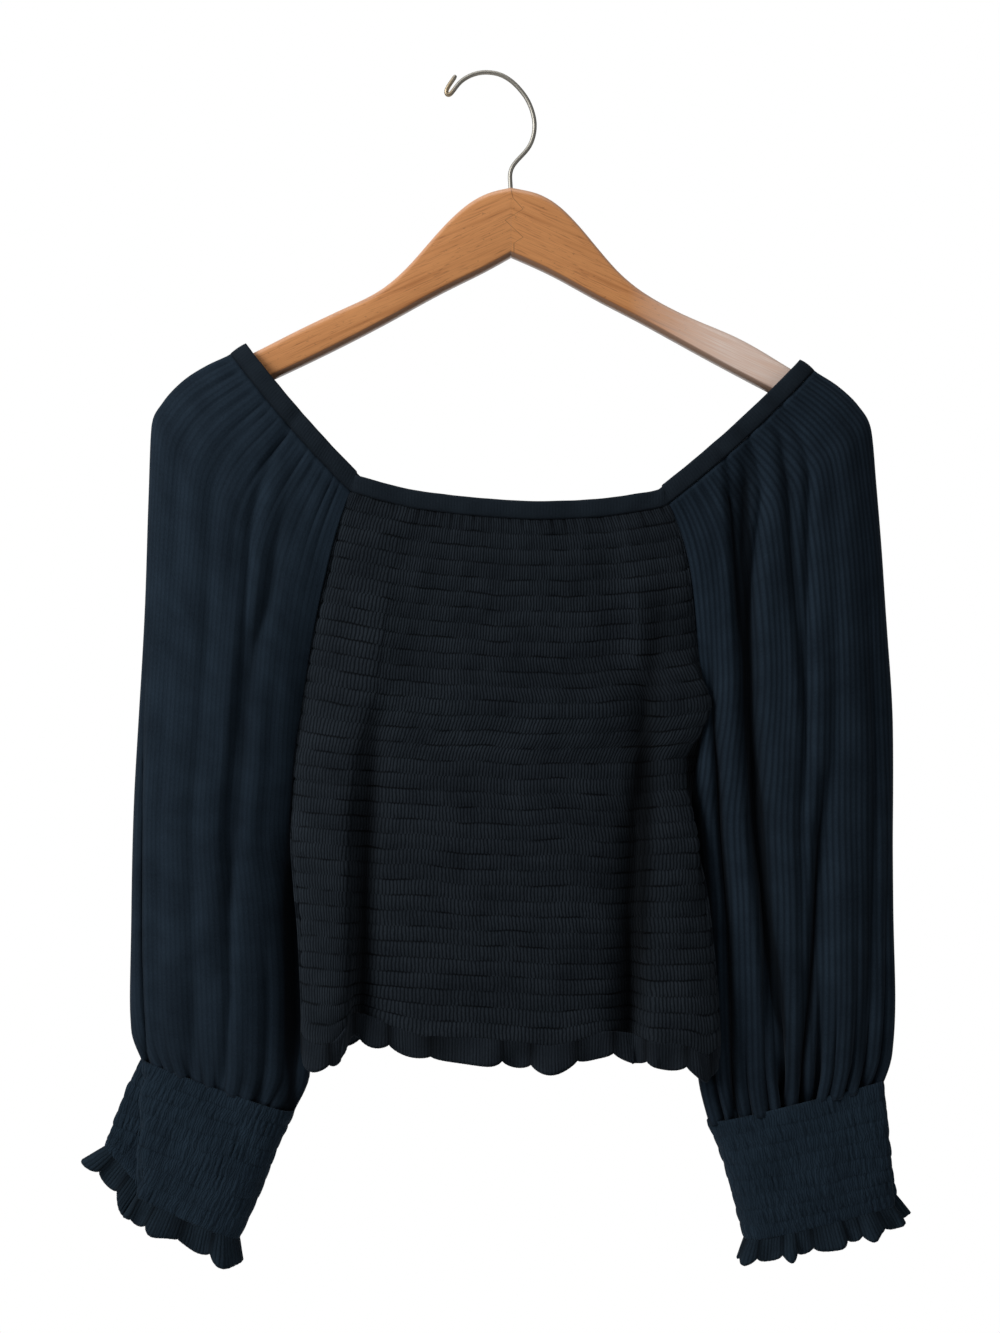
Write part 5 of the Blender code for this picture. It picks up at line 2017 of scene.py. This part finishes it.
@dataclass(frozen=True)
class WoodFinish:
    """Lacquered light beech, darker streaks along it, a finger joint, painted highlight and shade.
    """

    name: str = "lacquered_beech"
    pale: Color = (0.75, 0.332, 0.121)
    dark: Color = (0.42, 0.145, 0.040)
    vein: Color = (0.25, 0.085, 0.028)
    fleck: Color = (0.16, 0.07, 0.035)
    joint: Color = (0.10, 0.045, 0.022)
    # painted shade colour for the lower rounded edge
    under: Color = (0.215, 0.118, 0.070)
    # painted highlight colour, towards the right arm's end and along the top rim
    gleam: Color = (0.97, 0.78, 0.68)
    gleam_from: float = 0.084
    slope: float = 0.45
    joint_half: float = 0.00035
    coat: float = 0.22
    bump: tuple[float, float] = (0.12, 0.0002)

    def joint_line(self, x: Value, z: Value, shader: Shader) -> Value:
        """The thin dark line of the finger joint.

        Args:
            x: The place across.
            z: Its height.
            shader: The material.

        Returns:
            1 on the line, 0 away from it.
        """
        line = z * 0.0 + JOINT_LINE[0][0]
        for (x0, z0), (x1, z1) in zip(JOINT_LINE, JOINT_LINE[1:]):
            values = {"Value": z, "From Min": z0, "From Max": z1, "To Min": 0.0, "To Max": x1 - x0}
            line = line + shader.value(shader.first("ShaderNodeMapRange", values))
        off = (x - line).math("ABSOLUTE") / self.joint_half
        return (1.0 - off).clamped()

    def material(self) -> bpy.types.Material:
        """The wood: streaks, flecks, veins, the joint, a painted highlight and painted shade
        below.

        Returns:
            Its material.
        """
        shader = Shader(self.name)
        where, x, y, z = shader.parts(shader.node("ShaderNodeTexCoord").outputs["Object"])
        along = (x - JOINT_X).math("ABSOLUTE")
        values = {0: z + along * self.slope, 1: along, 2: y}
        grain = shader.first("ShaderNodeCombineXYZ", values)
        broad = shader.noise(grain, (260, 9, 1), 3.0)
        fine = shader.noise(grain, (1500, 34, 1))
        streak = ((broad - 0.52) * 5.0).clamped()
        cloud = shader.noise(where, 30.0)
        tone = (streak * 0.55 + fine * 0.40 + cloud * 0.30 - 0.22).clamped()
        flecks = ((shader.noise(where, (420, 420, 900), 1.0) - 0.71) * 16).clamped()
        lines = ((broad * 11.0).math("FRACT") - 0.5).math("ABSOLUTE")
        veins = (1.0 - lines / 0.12).clamped() * (fine * 1.6 - 0.2).clamped()
        # painted highlight towards the right arm's end, in streaks
        gleam = ((x - self.gleam_from) * 17.0).clamped() * (0.30 + fine * 1.1).clamped()
        rim = shader.mark(RIM)
        # painted shade on the lower rounded edge, with a darker painted shade line along its top
        underside_shade_mask = ((rim * -1.0 - 0.25) * 10.0).clamped()
        lower_edge_shade = ((rim * -1.0 - 0.08) * 6.0).clamped() - underside_shade_mask
        color = shader.mix(tone, self.pale, self.dark)
        for share, other in (
            (flecks * 0.4, self.fleck),
            (veins * 0.7, self.vein),
            (self.joint_line(x, z, shader) * 0.8, self.joint),
            (gleam, self.gleam),
            # painted highlight along the top rim
            (rim.clamped() * 0.35, self.gleam),
            (underside_shade_mask * 0.85, self.under),
            (lower_edge_shade * 0.6, self.vein),
        ):
            color = shader.mix(share, color, other)
        return shader.look(
            Base_Color=color,
            Roughness=fine * 0.16 + 0.30,
            Coat_Weight=self.coat,
            Coat_Roughness=self.coat,
            Normal=shader.bump(fine, *self.bump),
        )

    def put_on(self, piece: Piece) -> Piece:
        """Dresses the piece."""
        piece.data.materials.append(bpy.data.materials.get(self.name) or self.material())
        return piece


@dataclass(frozen=True)
class SteelFinish:
    """Bright drawn wire, slightly brassy at its folded tip."""

    name: str = "bright_steel"
    color: Color = (0.43, 0.41, 0.36)
    drawn: Color = (0.30, 0.29, 0.27)
    brassy: Color = (0.50, 0.36, 0.19)

    def put_on(self, piece: Piece) -> Piece:
        """Dresses a piece.

        Args:
            piece: The piece.

        Returns:
            The same piece.
        """
        shader = Shader(self.name)
        where, x, _, z = shader.parts(shader.node("ShaderNodeTexCoord").outputs["Object"])
        tip = ((x * -1.0 - 0.0255) * 260.0).clamped() * ((z + 0.017) * 300.0).clamped()
        drawn = shader.noise(where, 160.0, 1.0)
        steel = shader.mix(drawn * 0.3, self.color, self.drawn)
        material = shader.look(
            Base_Color=shader.mix(tip * 0.6, steel, self.brassy),
            Metallic=1.0,
            Roughness=drawn * 0.10 + 0.44,
        )
        piece.data.materials.append(material)
        return piece


# ---- the studio


@dataclass
class Studio:
    """A pale floor, soft light from the left and the camera of the photograph."""

    eye: Station = (0.0026, -1.10, -0.379)
    aim: Station = (0.0, 0.0, -0.38)
    focal: float = 46.4
    frame: float = 36.0
    room: float = 0.13
    floor_half: float = 1.1
    floor_z: float = -1.25
    lamps: tuple[tuple[str, Station, float, float], ...] = (
        ("key", (-1.7, -1.15, 0.55), 1.1, 36.0),
        ("top", (-0.2, -0.5, 1.3), 1.2, 8.0),
        ("fill", (1.6, -1.6, -0.2), 1.6, 3.0),
    )

    def build(self) -> None:
        """Sets up the floor, the lights, the sky and the camera."""
        self.floor()
        for lamp in self.lamps:
            self.lamp(*lamp)
        world = bpy.data.worlds.new("pale_room")
        world.use_nodes = True
        self.sky(Nodes(world.node_tree))
        bpy.context.scene.world = world
        bpy.context.scene.view_settings.view_transform = "Standard"
        self.camera()

    def sky(self, nodes: Nodes) -> None:
        """A pale room whose far wall, behind the blouse, is white.

        Args:
            nodes: The world's nodes.
        """
        way = nodes.node("ShaderNodeTexCoord").outputs["Generated"]
        ahead = nodes.value(nodes.node("ShaderNodeSeparateXYZ", {0: way}).outputs[1])
        wall = (ahead * 5.0 - 3.2).clamped()
        sky = nodes.tree.nodes["Background"].inputs
        nodes.put(sky["Strength"], wall * (1.0 - self.room) + self.room)
        nodes.put(sky["Color"], (1.0, 1.0, 1.0, 1.0))

    def floor(self) -> Piece:
        """A plain pale floor far below the hanging blouse.

        Returns:
            The floor.
        """
        mesh = bpy.data.meshes.new("floor")
        turns = ((-1, -1), (1, -1), (1, 1), (-1, 1))
        corners = [(x * self.floor_half, y * self.floor_half, self.floor_z) for x, y in turns]
        mesh.from_pydata(corners, [], [(0, 1, 2, 3)])
        pale = Shader("pale_floor").look(Base_Color=(0.86, 0.86, 0.86, 1.0), Roughness=0.9)
        mesh.materials.append(pale)
        return linked("floor", mesh)

    def lamp(self, name: str, place: Station, size: float, power: float) -> None:
        """A soft square lamp that faces the blouse.

        Args:
            name: Its name.
            place: Where it stands.
            size: Its width.
            power: Its power in watts.
        """
        light = bpy.data.lights.new(name, "AREA")
        light.size, light.energy = size, power
        made = linked(name, light)
        made.location = place
        way = Vector(self.aim) - Vector(place)
        made.rotation_euler = way.to_track_quat("-Z", "Y").to_euler()

    def camera(self) -> None:
        """The photograph's view, straight on and level."""
        lens = bpy.data.cameras.new("camera")
        lens.sensor_fit, lens.sensor_height, lens.lens = "VERTICAL", self.frame, self.focal
        made = linked("camera", lens)
        made.location, made.rotation_euler = self.eye, (math.pi / 2, 0.0, 0.0)
        bpy.context.scene.camera = made


# ---- the whole blouse


@dataclass(frozen=True)
class Cut:
    """A piece's flat cut, as the maker lays it out, and how the piece is held."""

    width: float
    length: float
    held: Held
    rests_on: tuple[str, ...]


SMOCKED = KnitFinish(
    "black_smocked_knit", (0.0032, 0.0050, 0.0075), (0.0300, 0.0395, 0.0505),
    wander=0.7, groove=0.9, rib_bump=1.1, thread=0.8,
)
RIBBED = KnitFinish(
    "black_rib_knit", (0.0042, 0.0078, 0.0130), (0.0230, 0.0395, 0.0600),
    rib_rise=0.0004, groove=0.8, rib_bump=1.0,
)
BAND = KnitFinish(
    "black_binding", (0.0048, 0.0080, 0.0122), (0.0185, 0.0270, 0.0370), groove=0.25, rib_bump=0.3
)
CRINKLED = KnitFinish(
    "black_crinkled_knit", (0.0050, 0.0096, 0.0156), (0.0240, 0.0435, 0.0660),
    wander=2.2, groove=0.4, thread=0.22,
)
ROLLED = KnitFinish(
    "black_rolled_edge", (0.0050, 0.0090, 0.0142), (0.0230, 0.0400, 0.0580), wander=0.5
)
HEMMED = KnitFinish(
    "black_hem_ruffle", (0.0042, 0.0062, 0.0092), (0.0250, 0.0335, 0.0440), wander=0.5
)
LEFT_HANG = SleeveHang(
    Gathers(24, 0.0013, 0.020, 30, 1.7),
    fold_share=0.6, bulge=0.0008, scallop=0.0014, sway=0.0003, rib_share=0.35, dark_at=0.011,
)
RIGHT_HANG = SleeveHang(
    Gathers(24, 0.0085, 0.055, 33, 2.4),
    fold_share=1.0, bulge=0.0018, scallop=0.0030, sway=0.0006, rib_share=0.8, dark_at=0.008,
)
CUFF_WAY = {
    Hand.LEFT: RufflePattern(0.0200, 0.0168, 0.0036, 161),
    Hand.RIGHT: RufflePattern(0.0125, 0.0155, 0.0036, 163),
}
HEM_WAY = RufflePattern(0.027, 0.0160, 0.0042, 171, step=0.0006)


def declare(piece: Piece) -> None:
    """Hangs a finished piece on the body, hides the solid that it stands for and logs its faces.

    Args:
        piece: The piece.
    """
    name = piece.name.removesuffix(MADE)
    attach(piece, BODY)
    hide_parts(name)
    LOG.info("%s: %d faces", name, len(piece.data.polygons))


def declare_trim(piece: Piece) -> None:
    """Hangs a trim that has no solid of its own on the body and logs its faces.

    Args:
        piece: The trim.
    """
    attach(piece, BODY)
    LOG.info("%s: %d faces", piece.name, len(piece.data.polygons))


def build_blouse() -> None:
    """Builds the sewn pieces in the order that a maker would."""
    left = Sleeve(Hand.LEFT, LEFT_SLEEVE, LEFT_FOLDS, LEFT_CREASES, LEFT_HANG)
    right = Sleeve(Hand.RIGHT, RIGHT_SLEEVE, RIGHT_FOLDS, RIGHT_CREASES, RIGHT_HANG)
    front = Panel(Facing.FRONT, FRONT_PANEL, left, right)
    back = Panel(Facing.BACK, BACK_PANEL, left, right)
    for panel in (front, back):
        declare(panel.build(SMOCKED))
    for sleeve in (left, right):
        declare(sleeve.build(RIBBED))
    declare(NeckBinding(front, back, left, right).build(BAND))

    ruffles = []
    for sleeve, rows in ((left, LEFT_CUFF), (right, RIGHT_CUFF)):
        cuff, hand = Cuff(sleeve, rows), sleeve.hand
        declare(cuff.build(CRINKLED))
        name, turn = f"cuff_ruffle_{hand.name.lower()}", float(hand.value)
        seam, out = cuff.points[-1], cuff.outward()[-1]
        ruffles.append((Ruffle(name, seam, out, cuff.fall(), turn, CUFF_WAY[hand]), ROLLED))

    hem = np.concatenate([front.points[-1], back.points[-1][::-1]])
    out = np.concatenate([front.outward()[-1], back.outward()[-1][::-1]])
    down = np.zeros_like(hem) - (0.0, 0.0, 1.0)
    ruffles.append((Ruffle("hem_ruffle", hem, out, down, -1.0, HEM_WAY), HEMMED))
    for ruffle, finish in ruffles:
        declare(ruffle.build(finish))
        declare_trim(ruffle.edge(finish))


def build_hanger() -> None:
    """Builds the hanger's two arms and its hook."""
    hanger, wood = Hanger(), WoodFinish()
    declare(hanger.arm("hanger_arm_left", LEFT_ARM, wood))
    declare(hanger.arm("hanger_arm_right", RIGHT_ARM, wood))
    declare(hanger.hook(SteelFinish()))


def main() -> None:
    """Builds the blouse, its hanger and the studio, and notes the model's size."""
    logging.basicConfig(level=logging.INFO, format="%(message)s")
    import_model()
    build_hanger()
    build_blouse()
    Studio().build()


if __name__ == "__main__":
    main()
